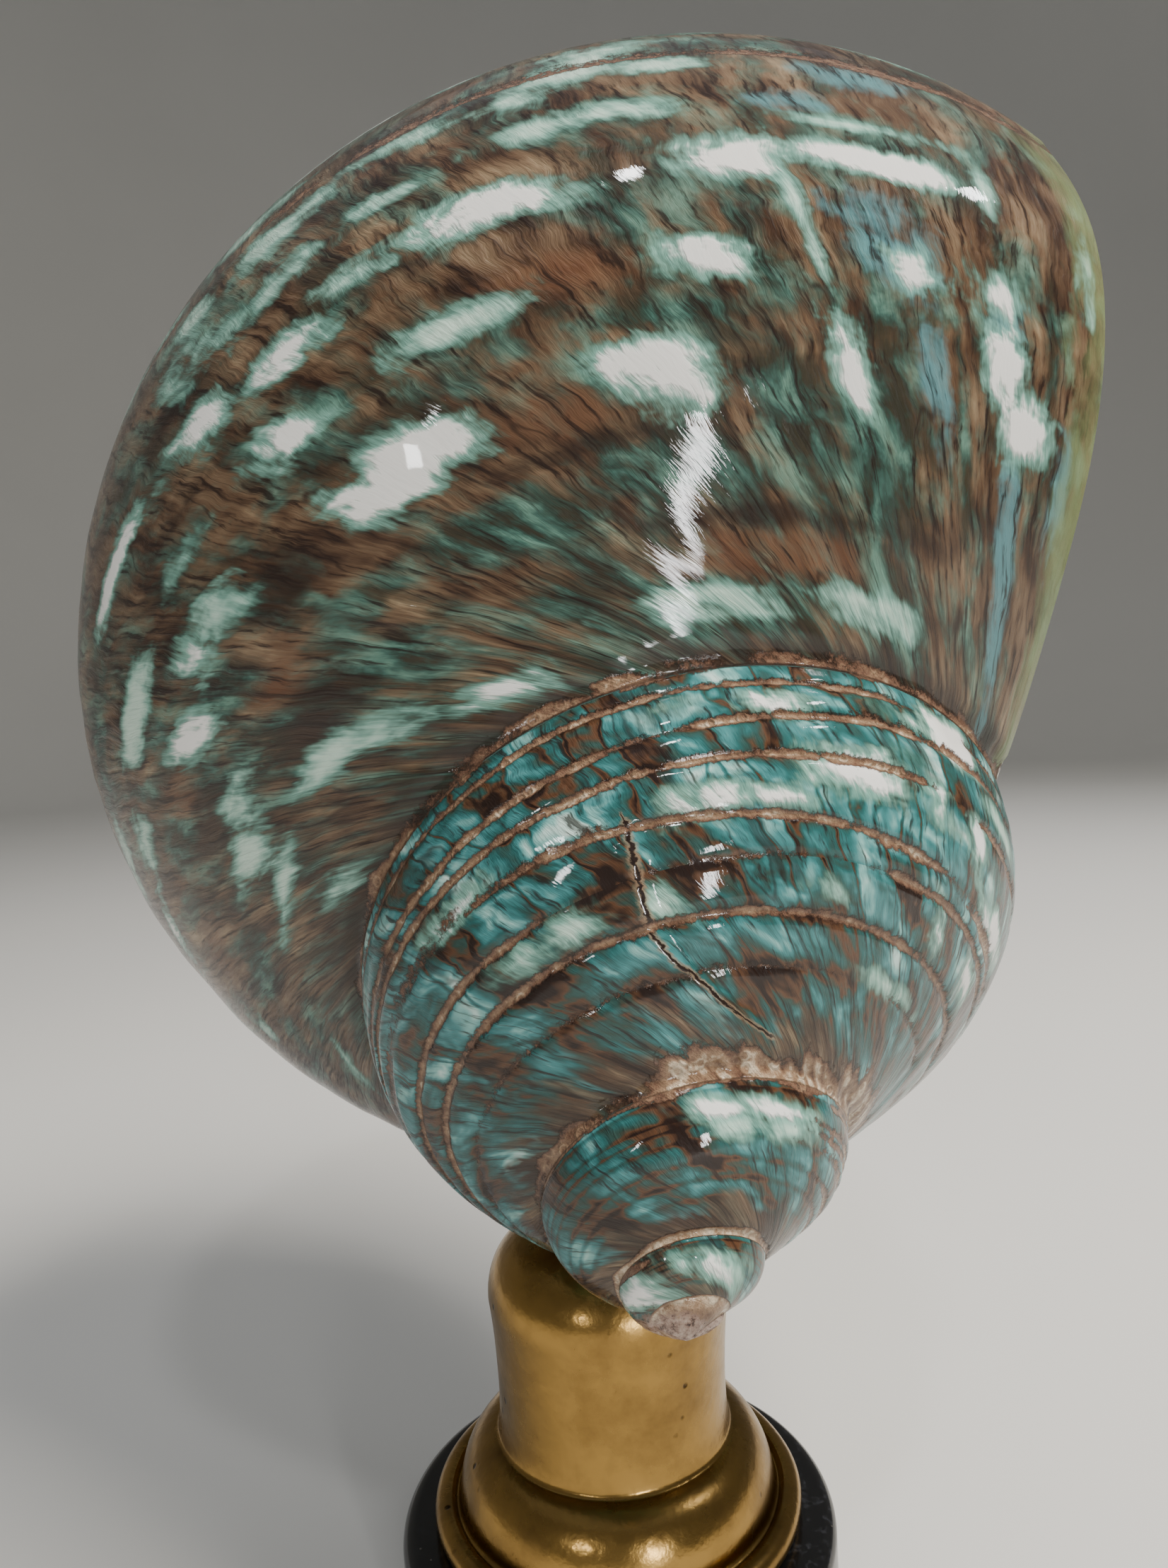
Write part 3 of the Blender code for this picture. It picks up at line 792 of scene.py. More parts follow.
@dataclass
class TurboShell:
    """The shell: one closed skin, polished outside, pearly in the mouth."""

    growth: ShellGrowth = field(default_factory=ShellGrowth)
    relief: ShellRelief = field(default_factory=ShellRelief)
    crust: ShellCrust = field(default_factory=ShellCrust)
    patches: ShellMarks = field(default_factory=ShellMarks)
    steps_per_turn: int = 240
    base_steps: int = 30
    columella_steps: int = 14
    hollow_start: tuple[tuple[float, float, float], ...] = (
        (-0.004, 0.25, 0.15), (0.0, 0.55, 0.35), (0.012, 0.95, 0.55), (0.06, 2.2, 0.8),
        (0.11, 2.8, 0.9), (0.16, 3.2, 1.0), (0.24, 3.7, 1.1), (0.32, 4.0, 1.2),
    )
    hollow_wall: float = 4.2
    hollow_glaze: float = 1.3
    hollow_rings: int = 40
    hollow_angle: float = 3.7
    hollow_shrink: tuple[float, ...] = (0.97, 0.90, 0.80, 0.66, 0.50, 0.30)
    hollow_pace: float = 0.55
    hollow_radius: float = 45.0
    base_bulge: float = 1.25
    even_parts: int = 31
    thread_parts: tuple[float, ...] = (-0.030, -0.019, -0.009, 0.0, 0.009, 0.019, 0.030)
    edge_parts: tuple[float, ...] = (0.006, 0.013, 0.021, 0.046, 0.978, 0.990)
    least_gap: float = 0.0045

    @property
    def turn_rows(self) -> int:
        """Rows of the grid from a growth line to the one whose suture it forms."""
        return self.steps_per_turn - round(self.growth.lag_turns * self.steps_per_turn)

    def down(self) -> Array:
        """Parts across the whorl, close together at the sutures and at each thread."""
        wanted = set(np.round(np.linspace(0, 1, self.even_parts), 4).tolist()) | set(self.edge_parts)
        wanted |= {round(thread.across + step, 4)
                   for thread in self.relief.threads for step in self.thread_parts}
        kept: list[float] = []
        for part in sorted(wanted):
            if not kept or part - kept[-1] >= self.least_gap:
                kept.append(part)
        kept[-1] = 1.0
        return np.array(kept)

    def mouth_loop(self, growth: float) -> tuple[Array, Array]:
        """Outline of the living chamber at one growth line.

        Args:
            growth: angle of the growth line.

        Returns:
            The outline's points and each point's share of the inner side.
        """
        law = self.growth
        down = self.down()
        angle = growth + law.lag(growth, down)
        exposed = law.in_space(law.whorl_profile(angle, down), angle)
        inward = np.linspace(0, 1, self.base_steps + 1)
        low_angle = np.full(self.base_steps + 1, angle[-1])
        base = law.in_space(law.base_profile(low_angle, inward), low_angle)
        high_angle = np.full(self.base_steps + 1, growth - TURN)
        glaze = law.callus_height * law.suture(growth)[0] / law.suture(law.lip_angle)[0]
        parietal = law.in_space(law.base_profile(high_angle, inward, glaze), high_angle)[::-1]
        climb = np.linspace(0, 1, self.columella_steps + 1)[1:-1, None]
        straight = base[-1] + (parietal[0] - base[-1]) * climb
        outward = straight.mean(0) - law.exposed(np.array(growth), np.array(0.5))
        bow = law.columella_bow * outward / np.linalg.norm(outward)
        columella = straight + np.sin(math.pi * climb) * bow
        points = np.concatenate([exposed, base[1:], columella, parietal[:-1]])
        inner = np.zeros(len(points))
        inner[len(exposed) + self.base_steps:] = 1
        inner[0] = 0.5
        inner[len(exposed) + self.base_steps - 1] = 0.5
        return points, inner

    def drawn_in(self, growth: float, wall: float, glaze: float) -> Array:
        """Mouth outline moved towards its middle by the wall's thickness on each side."""
        points, inner = self.mouth_loop(growth)
        middle = points.mean(0)
        reach = np.linalg.norm(points - middle, axis=1)
        amount = wall + (glaze - wall) * inner
        return middle + (points - middle) * (1 - amount / reach)[:, None]

    def build(self, finish: "PolishedTurbanShell") -> Object:
        """Grows the skin and dresses it.

        Args:
            finish: the shell's material.

        Returns:
            The shell's object in the shared frame.
        """
        side = self.raised_side()
        skin = ShellMesh()
        grid = self.add_side(skin, side)
        rim = self.add_base(skin, side, grid)
        self.add_hollow(skin, rim, side.along[-1, 0])
        return self.make_object(skin, finish)

    def raised_side(self) -> Side:
        """Grows the exposed side along the spiral and lifts its relief off the smooth whorl."""
        law = self.growth
        step = TURN / self.steps_per_turn
        last = round((law.lip_angle - law.first_turn * TURN) / step)
        growth = law.lip_angle - (last - np.arange(last + 1)) * step
        grid_g, grid_u = np.meshgrid(growth, self.down(), indexing="ij")
        middle_radius = law.suture(growth + 0.55 * TURN)[:, 0] * 0.9
        along = np.broadcast_to((np.cumsum(middle_radius) * step)[:, None], grid_g.shape)
        length = np.broadcast_to(law.section_length(growth)[:, None], grid_g.shape)
        turn = grid_g / TURN
        height = self.relief.height(turn, grid_u, along, length, law.girth(turn))
        reach = 1e-3
        above, below = np.maximum(grid_u - reach, 0), np.minimum(grid_u + reach, 1)
        upward = law.exposed(grid_g, below) - law.exposed(grid_g, above)
        forward = law.exposed(grid_g + reach, grid_u) - law.exposed(grid_g - reach, grid_u)
        normal = np.cross(forward, upward)
        normal = -normal / np.linalg.norm(normal, axis=-1, keepdims=True)
        points = law.exposed(grid_g, grid_u) + normal * height[..., None]
        return Side(growth, turn, grid_u, along, length, points)

    def add_side(self, skin: ShellMesh, side: Side) -> Array:
        """Adds the exposed side and the cap on its tip.

        Each row ends on the first vertex of a later one, where the next whorl covers it. The last rows end
        free.

        Args:
            skin: takes the vertices and faces.
            side: the exposed side.

        Returns:
            Vertex numbers of the grid.
        """
        threads = self.relief.thread_field(side.turn, side.part, side.length, side.along)
        crust = self.crust.amount(threads, side.turn, side.part, side.along, side.length)
        over = side.part * side.length
        fields = (side.turn, side.part, side.along, over)
        inner = skin.add(side.points[:, :-1], *(values[:, :-1] for values in fields), crust=crust[:, :-1])
        free = slice(len(side.growth) - self.turn_rows, None)
        edge = skin.add(side.points[free, -1], *(values[free, -1] for values in fields),
                        crust=crust[free, -1])
        lower = np.concatenate([inner[self.turn_rows:, 0], edge])
        grid = np.concatenate([inner, lower[:, None]], 1)
        skin.join(grid)
        ring = np.concatenate([grid[:self.turn_rows + 1, 0], grid[0][-2:0:-1]])
        cap = self.growth.cap_ratio * self.growth.suture(side.growth[0])[1]
        skin.close(ring, skin.add(np.array([[0, 0, cap]]), side.turn[0, 0], 0.5, side.along[0, 0], 0.0))
        return grid

    def add_base(self, skin: ShellMesh, side: Side, grid: Array) -> Array:
        """Adds the underside of the last whorl, in to the columella, and closes it there.

        Args:
            skin: takes the vertices and faces.
            side: the exposed side.
            grid: its vertex numbers.

        Returns:
            Vertex numbers round the rim of the mouth.
        """
        law = self.growth
        rows = slice(len(side.growth) - 1 - self.turn_rows, None)
        inward = np.linspace(0, 1, self.base_steps + 1)[1:]
        base_g, base_u = np.meshgrid(side.growth[rows], inward, indexing="ij")
        points = law.base(base_g, base_u)
        reach = np.linalg.norm(points[:, -1] - points[:, 0], axis=-1)[:, None] * self.base_bulge
        length = side.length[rows, :1]
        inner = skin.add(points, base_g / TURN, 1 + base_u * reach / length, side.along[rows, :1],
                         length + base_u * reach)
        base = np.concatenate([grid[rows, -1:], inner], 1)
        skin.join(base)

        end = points[-1, -1]
        foot_height = end[2] - law.umbilicus_depth * math.hypot(end[0], end[1])
        facts = (side.turn[-1, 0], 2.0, side.along[-1, 0], (length + reach)[-1, 0])
        foot = skin.add(np.array([[0, 0, foot_height]]), *facts, region=Region.LINING)
        loop, _ = self.mouth_loop(law.lip_angle)
        first = grid.shape[1] + self.base_steps
        columella = skin.add(loop[first:first + self.columella_steps - 1], *facts, region=Region.LINING)
        skin.close(np.concatenate([base[:, -1], columella]), foot)
        return np.concatenate([grid[-1], base[-1][1:], columella, base[0][:0:-1]])

    def add_hollow(self, skin: ShellMesh, rim: Array, along: float) -> None:
        """Lines the living chamber with hoops from the rim back, the last ones drawn in to a blunt end.

        Args:
            skin: takes the vertices and faces.
            rim: vertex numbers round the mouth.
            along: length along the whorl at the rim.
        """
        wall = (self.hollow_wall, self.hollow_glaze)
        start = self.hollow_start[-1][0]
        pace = (self.hollow_angle - start) / self.hollow_rings
        hoops = [(*hoop, 1.0) for hoop in self.hollow_start]
        hoops += [(start + pace * count, *wall, 1.0) for count in range(1, self.hollow_rings + 1)]
        hoops += [(self.hollow_angle + self.hollow_pace * pace * count, *wall, share)
                  for count, share in enumerate(self.hollow_shrink, 1)]
        before = rim
        for back, thick, glaze, share in hoops:
            growth = self.growth.lip_angle - back
            points = self.drawn_in(growth, thick, glaze)
            centre = points.mean(0)
            points = centre + (points - centre) * share
            run = np.concatenate([[0.0], np.cumsum(np.linalg.norm(np.diff(points, axis=0), axis=1))])
            after = skin.add(points, growth / TURN, 0.5, along - back * self.hollow_radius, run,
                             region=Region.LINING)
            skin.faces.append(quads(np.append(before, before[0]), np.append(after, after[0])))
            before = after
        skin.close(before, skin.add(points.mean(0)[None], growth / TURN, 0.5, 0.0, 0.0, region=Region.LINING))

    def make_object(self, skin: ShellMesh, finish: "PolishedTurbanShell") -> Object:
        """Makes the mesh object with the attributes that its material reads.

        Args:
            skin: the vertices with their facts, and the faces.
            finish: the shell's material.

        Returns:
            The object, riding on nothing yet.
        """
        turn, across, along, over, pearl, crust = np.concatenate(skin.facts).T
        cells = np.concatenate(skin.faces).tolist() + np.concatenate(skin.fans).tolist()
        points = self.growth.to_world(np.concatenate(skin.points))
        item = mesh_object("turban_shell", points, cells, finish.material())
        length = self.growth.section_length(turn * TURN)
        cracked = self.relief.crack_distance(turn, across, length, self.growth.girth(turn))
        limit = self.patches.limit
        fields = self.patches.fields(self.growth, turn, across, length)
        fields |= {Tint.CRUST.value: crust, "crack": np.clip(cracked, -limit, limit),
                   "crack_near": np.clip(np.abs(cracked), 0, limit), "pearl": pearl, "turn": turn,
                   "across": across, "band": self.relief.band_of(turn, across)}
        for name, values in fields.items():
            attribute = item.data.attributes.new(name, "FLOAT", "POINT")
            attribute.data.foreach_set("value", values.astype(np.float32))
        grain = np.stack([along, over, np.zeros_like(along)], -1)
        attribute = item.data.attributes.new("grain_mm", "FLOAT_VECTOR", "POINT")
        attribute.data.foreach_set("vector", grain.astype(np.float32).ravel())
        return item


@dataclass(frozen=True)
class Grain:
    """A noise drawn out along the growth lines: its grain along and across the whorl, in millimetres."""

    along: float
    across: float
    octaves: float = 3.0
    roughness: float = 0.6


@dataclass(frozen=True)
class Layer:
    """A colour laid over one tint's marks; without a colour of its own it takes the sea-green.

    The edge says how far outside the marks the colour is half gone, and soft is that edge's half width, both
    in millimetres. Most is the colour's greatest share.
    """

    tint: Tint
    edge: float
    soft: float
    most: float
    colour: str | None = None


@dataclass(frozen=True)
class PolishedTurbanShell:
    """Turban shell, ground and polished, with its last crust left in the hollows.

    Aragonite shell under a hand polish: the eye sees glassy highlights broken by fine growth wrinkles, brown
    ground with sea-green streaks, and white patches that fade out through mint and teal.

    A range gives the values that come in and, unless they are 0 and 1, the ones that go out for them.
    """

    # Shell material takes a mineral's IOR. Under the polish it is half matt, and the polish is the clear
    # coat.
    ior: float = 1.55
    specular: float = 0.16
    gloss_range: tuple[float, ...] = (0.35, 0.65, 0.52, 0.34)
    crust_roughness: float = 0.72
    coat: float = 0.60
    coat_roughness: float = 0.03

    ground: Stops = ((0.34, "#1c120b"), (0.43, "#3a281c"), (0.50, "#54402f"), (0.58, "#6e5a45"),
                     (0.70, "#988569"))
    sea: Stops = ((0.38, "#2a2a1f"), (0.47, "#263f37"), (0.55, "#375b52"), (0.68, "#5f8677"))
    block: Stops = (
        (0.12, "#1e110b"), (0.26, "#523724"), (0.35, "#2a3f38"), (0.49, "#245655"), (0.64, "#3f7a7b"),
        (0.80, "#7aaca6"), (0.96, "#c6dad2"),
    )
    crust: Stops = ((0.36, "#35221a"), (0.50, "#684d3d"), (0.66, "#94795f"), (0.80, "#cdbba2"))
    tip: Stops = ((0.36, "#3a251d"), (0.44, "#8d7264"), (0.62, "#b9a394"))
    pearl: Stops = ((0.34, "#d2e0d8"), (0.5, "#e6e2d8"), (0.66, "#e9d6d1"))
    white: str = "#dfdeda"
    dark: str = "#1e110b"
    torn: str = "#94795f"
    lip: str = "#7d8a5c"

    # Marks in the order in which they are laid: below the spire's blocks, over them, and over the dark lines.
    below: tuple[Layer, ...] = (
        Layer(Tint.WARM, 0.2, 2.2, 0.5, "#6f4a33"), Layer(Tint.DARK, 0.1, 1.4, 0.7, "#1e110b"))
    above: tuple[Layer, ...] = (
        Layer(Tint.TEAL, 0.2, 1.4, 0.85), Layer(Tint.MINT, 0.7, 0.9, 0.85), Layer(Tint.WHITE, 1.0, 0.9, 0.9),
        Layer(Tint.BLUE, 0.1, 1.2, 0.75, "#568a90"))
    pale: tuple[Layer, ...] = (
        Layer(Tint.MINT, -0.1, 1.0, 0.85, "#7fae9f"), Layer(Tint.MINT, -1.1, 1.0, 0.9, "#bcd3c4"),
        Layer(Tint.WHITE, 0.45, 0.9, 0.9, "#7fae9f"))
    core: Layer = Layer(Tint.WHITE, -0.3, 0.55, 1.0)

    # Growth wrinkles lie about 0.6 mm apart, and are drawn a little wider so that they show. The hair lines
    # on them are finer than 0.2 mm on the shell, and are drawn twice as wide for the same reason.
    wrinkle: Grain = Grain(0.80, 6.5, 4.0)
    hair: Grain = Grain(0.38, 4.0)
    hair_share: float = 0.34
    # The ground's streaks and patches, the sea-green's, and where the ground goes over to sea-green.
    streak: Grain = Grain(3.0, 12.0, 3.0, 0.55)
    patch: Grain = Grain(5.5, 7.0, 2.0, 0.5)
    # Shares of the ground's tone: wrinkle height, which paints shade in the troughs and light on the crests,
    # then streaks and patches.
    ground_shares: tuple[float, float, float] = (0.36, 0.30, 0.34)
    green_streak: Grain = Grain(3.0, 7.0, 4.0)
    green_patch: Grain = Grain(4.5, 10.0, 4.0)
    green_range: tuple[float, ...] = (0.45, 0.62)
    green_most: float = 0.7
    young_range: tuple[float, ...] = (-0.86, -0.70, 0.25, 1.0)
    # Edges of marks fray by a few millimetres.
    frayed: Grain = Grain(0.6, 4.0)
    wavy: Grain = Grain(3.6, 5.0)
    frayed_share: float = 0.3
    ragged_mm: float = 6.5
    # Dark lines in the wrinkles' bottoms, partly the shell's growth lines and partly painted shade of the
    # creases, and the long ones where growth had rested.
    growth_line_and_crease_shade_range: tuple[float, ...] = (0.45, 0.36, 0.0, 0.85)
    rest: Grain = Grain(8.0, 70.0, 3.0, 0.55)
    rest_range: tuple[float, ...] = (0.002, 0.010, 0.6, 0.0)
    # The mouth's edge is green for the last millimetres of growth.
    lip_wave: float = 0.03
    lip_range: tuple[float, ...] = (-0.018, -0.005)
    lip_most: float = 0.65
    # Bends of the growth lines: how long each wave is and how far it goes, in millimetres.
    waves_mm: tuple[tuple[float, float], ...] = ((8.0, 2.2), (1.9, 0.35))

    # Blocks between the threads of the spire, 3.6 mm long.
    block_mm: float = 3.6
    block_wave: Grain = Grain(5.0, 26.0, 2.0, 0.5)
    block_shift: tuple[float, float] = (0.10, 3.0)
    block_edge: tuple[float, float] = (0.37, 0.30)
    thread_edge: tuple[float, float] = (0.22, 0.16)
    block_spread: float = 0.24
    brown_range: tuple[float, ...] = (0.08, 0.16, -0.13, 0.0)
    cloud: Grain = Grain(4.2, 6.5, 3.0, 0.55)
    cloud_range: tuple[float, ...] = (0.25, 0.75, 0.04, 0.82)
    plain_range: tuple[float, ...] = (0.26, 0.46, 0.25, 1.0)
    early_range: tuple[float, ...] = (-1.95, -1.7, 0.25, 1.0)
    spire_range: tuple[float, ...] = (-0.70, -0.86)
    fringe: Grain = Grain(3.5, 7.0)
    fringe_share: float = 0.5
    early_share: float = 0.16
    fringe_range: tuple[float, ...] = (0.46, 0.56)

    # The crack: a dark line 0.4 mm wide between torn edges 1 mm wide.
    crack_grain: Grain = Grain(0.9, 0.9)
    crack_waver: float = 0.8
    crack_reach: tuple[float, ...] = (0.8, 1.2, 1.0, 0.0)
    crack_line: tuple[float, ...] = (0.10, 0.22, 1.0, 0.0)
    crack_torn: tuple[float, ...] = (0.20, 0.50, 1.0, 0.0)
    torn_most: float = 0.6

    # Grit 0.8 mm across, so 1.3 grains to the millimetre, and worm coils 1.3 mm across with a raised ring.
    grit_per_mm: float = 1.3
    coil_mm: float = 1.3
    coil_radius: float = 0.34
    coil_range: tuple[float, ...] = (0.0, 0.16, 1.0, 0.0)
    crust_range: tuple[float, ...] = (0.74, 0.90)
    coil_share: float = 0.16
    coil_rise: float = 0.6
    tip_range: tuple[float, ...] = (-3.08, -3.16)
    lining: Grain = Grain(7.0, 12.0, 3.0, 0.5)

    # Height in millimetres and strength of the wrinkles, in the shell and in what the polish follows of them;
    # then how much higher the grit is, and how much of the wrinkles is left on white patches and lining.
    wrinkle_rise: tuple[float, float] = (0.45, 0.8)
    coat_rise: tuple[float, float] = (0.025, 0.7)
    grit_rise: float = 1.4
    smooth_rise: float = 0.15

    def material(self) -> Material:
        """Builds the node material."""
        made, tree, shader = new_material("polished_turban_shell")
        grain = self.bent(tree, add_node(tree, "Attribute", attribute_name="grain_mm").outputs["Vector"])
        wrinkle = self.wrinkles(tree, grain)
        colour, white = self.body_colour(tree, grain, wrinkle)
        colour = self.over_crack(tree, grain, colour)
        colour, crusted, grit = self.over_crust(tree, colour)
        tree.links.new(self.over_pearl(tree, grain, colour), shader.inputs["Base Color"])
        rough = add_node(tree, "MapRange", inputs_of(wrinkle, *self.gloss_range)).outputs[0]
        rough = add_node(tree, "Mix", {0: crusted, 2: rough, 3: self.crust_roughness},
                         data_type="FLOAT").outputs[0]
        tree.links.new(rough, shader.inputs["Roughness"])
        shader.inputs["IOR"].default_value = self.ior
        shader.inputs["Specular IOR Level"].default_value = self.specular
        shader.inputs["Coat Weight"].default_value = self.coat
        shader.inputs["Coat Roughness"].default_value = self.coat_roughness
        self.wrinkled(tree, wrinkle, white, grit, shader)
        return made

    def bent(self, tree: NodeTree, grain: NodeSocket) -> NodeSocket:
        """Bends the growth lines a little, in long waves and short ones, so that none runs dead straight."""
        for length, amount in self.waves_mm:
            wave = add_node(tree, "TexNoise", {"Vector": grain, "Scale": 1 / length, "Detail": 2.0},
                            noise_dimensions="3D").outputs["Color"]
            grain = add_node(tree, "VectorMath", inputs_of(wave, (amount, amount, 0), grain),
                             operation="MULTIPLY_ADD").outputs[0]
        return grain

    def wrinkles(self, tree: NodeTree, grain: NodeSocket) -> NodeSocket:
        """Height of the growth wrinkles from 0 to 1: drawn-out folds with hair lines on them."""
        folds = self.stretched(tree, grain, self.wrinkle)
        hairs = self.stretched(tree, grain, self.hair)
        return self.shared(tree, folds, hairs, self.hair_share)

    @staticmethod
    def shared(tree: NodeTree, most: NodeSocket, rest: NodeSocket, share: float) -> NodeSocket:
        """Sum of two patterns, the second with the given share and the first with what is left."""
        most = add_node(tree, "Math", inputs_of(most, 1 - share), operation="MULTIPLY").outputs[0]
        return add_node(tree, "Math", inputs_of(rest, share, most), operation="MULTIPLY_ADD").outputs[0]

    @staticmethod
    def stretched(tree: NodeTree, grain: NodeSocket, pattern: Grain) -> NodeSocket:
        """Noise from 0 to 1 at a place on the shell, drawn out as its pattern says."""
        scale = (1 / pattern.along, 1 / pattern.across, 1)
        place = add_node(tree, "Mapping", {"Vector": grain, "Scale": scale}).outputs[0]
        return add_node(tree, "TexNoise", {"Vector": place, "Scale": 1.0, "Detail": pattern.octaves,
                                           "Roughness": pattern.roughness, "Distortion": 0.25},
                        noise_dimensions="2D").outputs["Fac"]

    def mask(self, tree: NodeTree, layer: Layer, ragged: NodeSocket) -> NodeSocket:
        """Share of a layer: its tint's signed distance with a ragged edge, turned into 0 to 1.

        Args:
            tree: the material's tree.
            layer: the marks and their edge.
            ragged: noise from 0 to 1 that roughens the edge.

        Returns:
            The mask's socket.
        """
        distance = add_node(tree, "Attribute", attribute_name=layer.tint.value).outputs["Fac"]
        wander = add_node(tree, "Math", inputs_of(ragged, self.ragged_mm, distance), operation="MULTIPLY_ADD")
        middle = self.ragged_mm / 2 - layer.edge
        return add_node(tree, "MapRange",
                        inputs_of(wander.outputs[0], middle - layer.soft, middle + layer.soft),
                        interpolation_type="SMOOTHSTEP").outputs[0]

    def laid(self, tree: NodeTree, layers: Sequence[Layer], ragged: NodeSocket, colour: NodeSocket,
             sea: NodeSocket) -> NodeSocket:
        """Lays a row of layers over a colour.

        Args:
            tree: the material's tree.
            layers: what is laid, the lowest first.
            ragged: noise that roughens the edges.
            colour: what lies below.
            sea: colour of the layers that have none of their own.

        Returns:
            The colour's socket.
        """
        for layer in layers:
            over = linear(layer.colour) if layer.colour else sea
            colour = self.mixed(tree, self.mask(tree, layer, ragged), colour, over, layer.most)
        return colour

    def body_colour(self, tree: NodeTree, grain: NodeSocket, wrinkle: NodeSocket
                    ) -> tuple[NodeSocket, NodeSocket]:
        """Colour of the polished outside: brown ground, the spire's blocks, then marks from dark to white.

        Args:
            tree: the material's tree.
            grain: place on the shell in millimetres.
            wrinkle: height of the growth wrinkles.

        Returns:
            The colour's socket and the mask of the white patches.
        """
        streak = self.stretched(tree, grain, self.streak)
        patch = self.stretched(tree, grain, self.patch)
        first, *shares = self.ground_shares
        # Painted shade and light: the ground's tone takes a share of the wrinkles' height, darker in their
        # troughs and lighter on their crests, over the shell's own streaks and patches.
        blend = add_node(tree, "Math", inputs_of(wrinkle, first), operation="MULTIPLY").outputs[0]
        for part, share in zip((streak, patch), shares):
            blend = add_node(tree, "Math", inputs_of(part, share, blend), operation="MULTIPLY_ADD").outputs[0]
        colour = self.filled(add_node(tree, "ValToRGB", {"Fac": blend}), self.ground)
        ragged = self.shared(tree, self.stretched(tree, grain, self.wavy),
                             self.stretched(tree, grain, self.frayed),
                             self.frayed_share)
        sea = self.filled(add_node(tree, "ValToRGB", {"Fac": self.stretched(tree, grain, self.green_streak)}),
                          self.sea)
        wander = self.stretched(tree, grain, self.green_patch)
        turn = add_node(tree, "Attribute", attribute_name="turn").outputs["Fac"]
        green = add_node(tree, "MapRange", inputs_of(wander, *self.green_range)).outputs[0]
        young = add_node(tree, "MapRange", inputs_of(turn, *self.young_range)).outputs[0]
        green = add_node(tree, "Math", inputs_of(green, young), operation="MULTIPLY").outputs[0]
        colour = self.mixed(tree, green, colour, sea, self.green_most)
        colour = self.laid(tree, self.below, ragged, colour, sea)
        spire, blocks = self.blocks(tree, grain)
        colour = self.mixed(tree, spire, colour, blocks)
        colour = self.laid(tree, self.above, ragged, colour, sea)
        colour = self.lined_and_crease_shaded(tree, grain, wrinkle, colour)
        colour = self.laid(tree, self.pale, ragged, colour, sea)
        white = self.mask(tree, self.core, ragged)
        colour = self.mixed(tree, white, colour, linear(self.white))
        rim = add_node(tree, "Math", inputs_of(wander, self.lip_wave, turn),
                       operation="MULTIPLY_ADD").outputs[0]
        rim = add_node(tree, "MapRange", inputs_of(rim, *self.lip_range)).outputs[0]
        return self.mixed(tree, rim, colour, linear(self.lip), self.lip_most), white

    def lined_and_crease_shaded(self, tree: NodeTree, grain: NodeSocket, wrinkle: NodeSocket, colour: NodeSocket) -> NodeSocket:
        """Dark lines in the bottoms of the growth wrinkles, partly the shell's growth lines and partly painted
        shade of the creases, and the few long ones where growth had rested.
        """
        # Painted shade: the colour goes dark where the wrinkles' height is lowest, in their creases.
        lines = add_node(tree, "MapRange", inputs_of(wrinkle, *self.growth_line_and_crease_shade_range)).outputs[0]
        colour = self.mixed(tree, lines, colour, linear(self.dark))
        rest = self.off_from(tree, self.stretched(tree, grain, self.rest), 0.5)
        rest = add_node(tree, "MapRange", inputs_of(rest, *self.rest_range)).outputs[0]
        return self.mixed(tree, rest, colour, linear(self.dark))

    @staticmethod
    def off_from(tree: NodeTree, value: NodeSocket, middle: float) -> NodeSocket:
        """How far a value lies from a middle, on either side."""
        off = add_node(tree, "Math", inputs_of(value, middle), operation="SUBTRACT").outputs[0]
        return add_node(tree, "Math", inputs_of(off), operation="ABSOLUTE").outputs[0]

    def blocks(self, tree: NodeTree, grain: NodeSocket) -> tuple[NodeSocket, NodeSocket]:
        """Sea-green blocks with pale middles between the threads of the spire, parted by thin brown lines.

        Args:
            tree: the material's tree.
            grain: place on the shell in millimetres.

        Returns:
            The blocks' mask and colour sockets.
        """
        band, turn, across = (add_node(tree, "Attribute", attribute_name=name).outputs["Fac"]
                              for name in ("band", "turn", "across"))
        row = add_node(tree, "Math", inputs_of(band), operation="FLOOR").outputs[0]
        along = add_node(tree, "SeparateXYZ", inputs_of(grain)).outputs[0]
        step, amount = self.block_shift
        wave = self.stretched(tree, grain, self.block_wave)
        shift = add_node(tree, "Math", inputs_of(row, step, wave), operation="MULTIPLY_ADD").outputs[0]
        shift = add_node(tree, "Math", inputs_of(shift, amount), operation="MULTIPLY").outputs[0]
        place = add_node(tree, "Math", inputs_of(along, 1 / self.block_mm, shift),
                         operation="MULTIPLY_ADD").outputs[0]
        cell = add_node(tree, "Math", inputs_of(place), operation="FLOOR").outputs[0]
        cell = add_node(tree, "CombineXYZ", inputs_of(cell, row)).outputs[0]
        dice = add_node(tree, "TexWhiteNoise", {"Vector": cell}, noise_dimensions="2D").outputs["Value"]
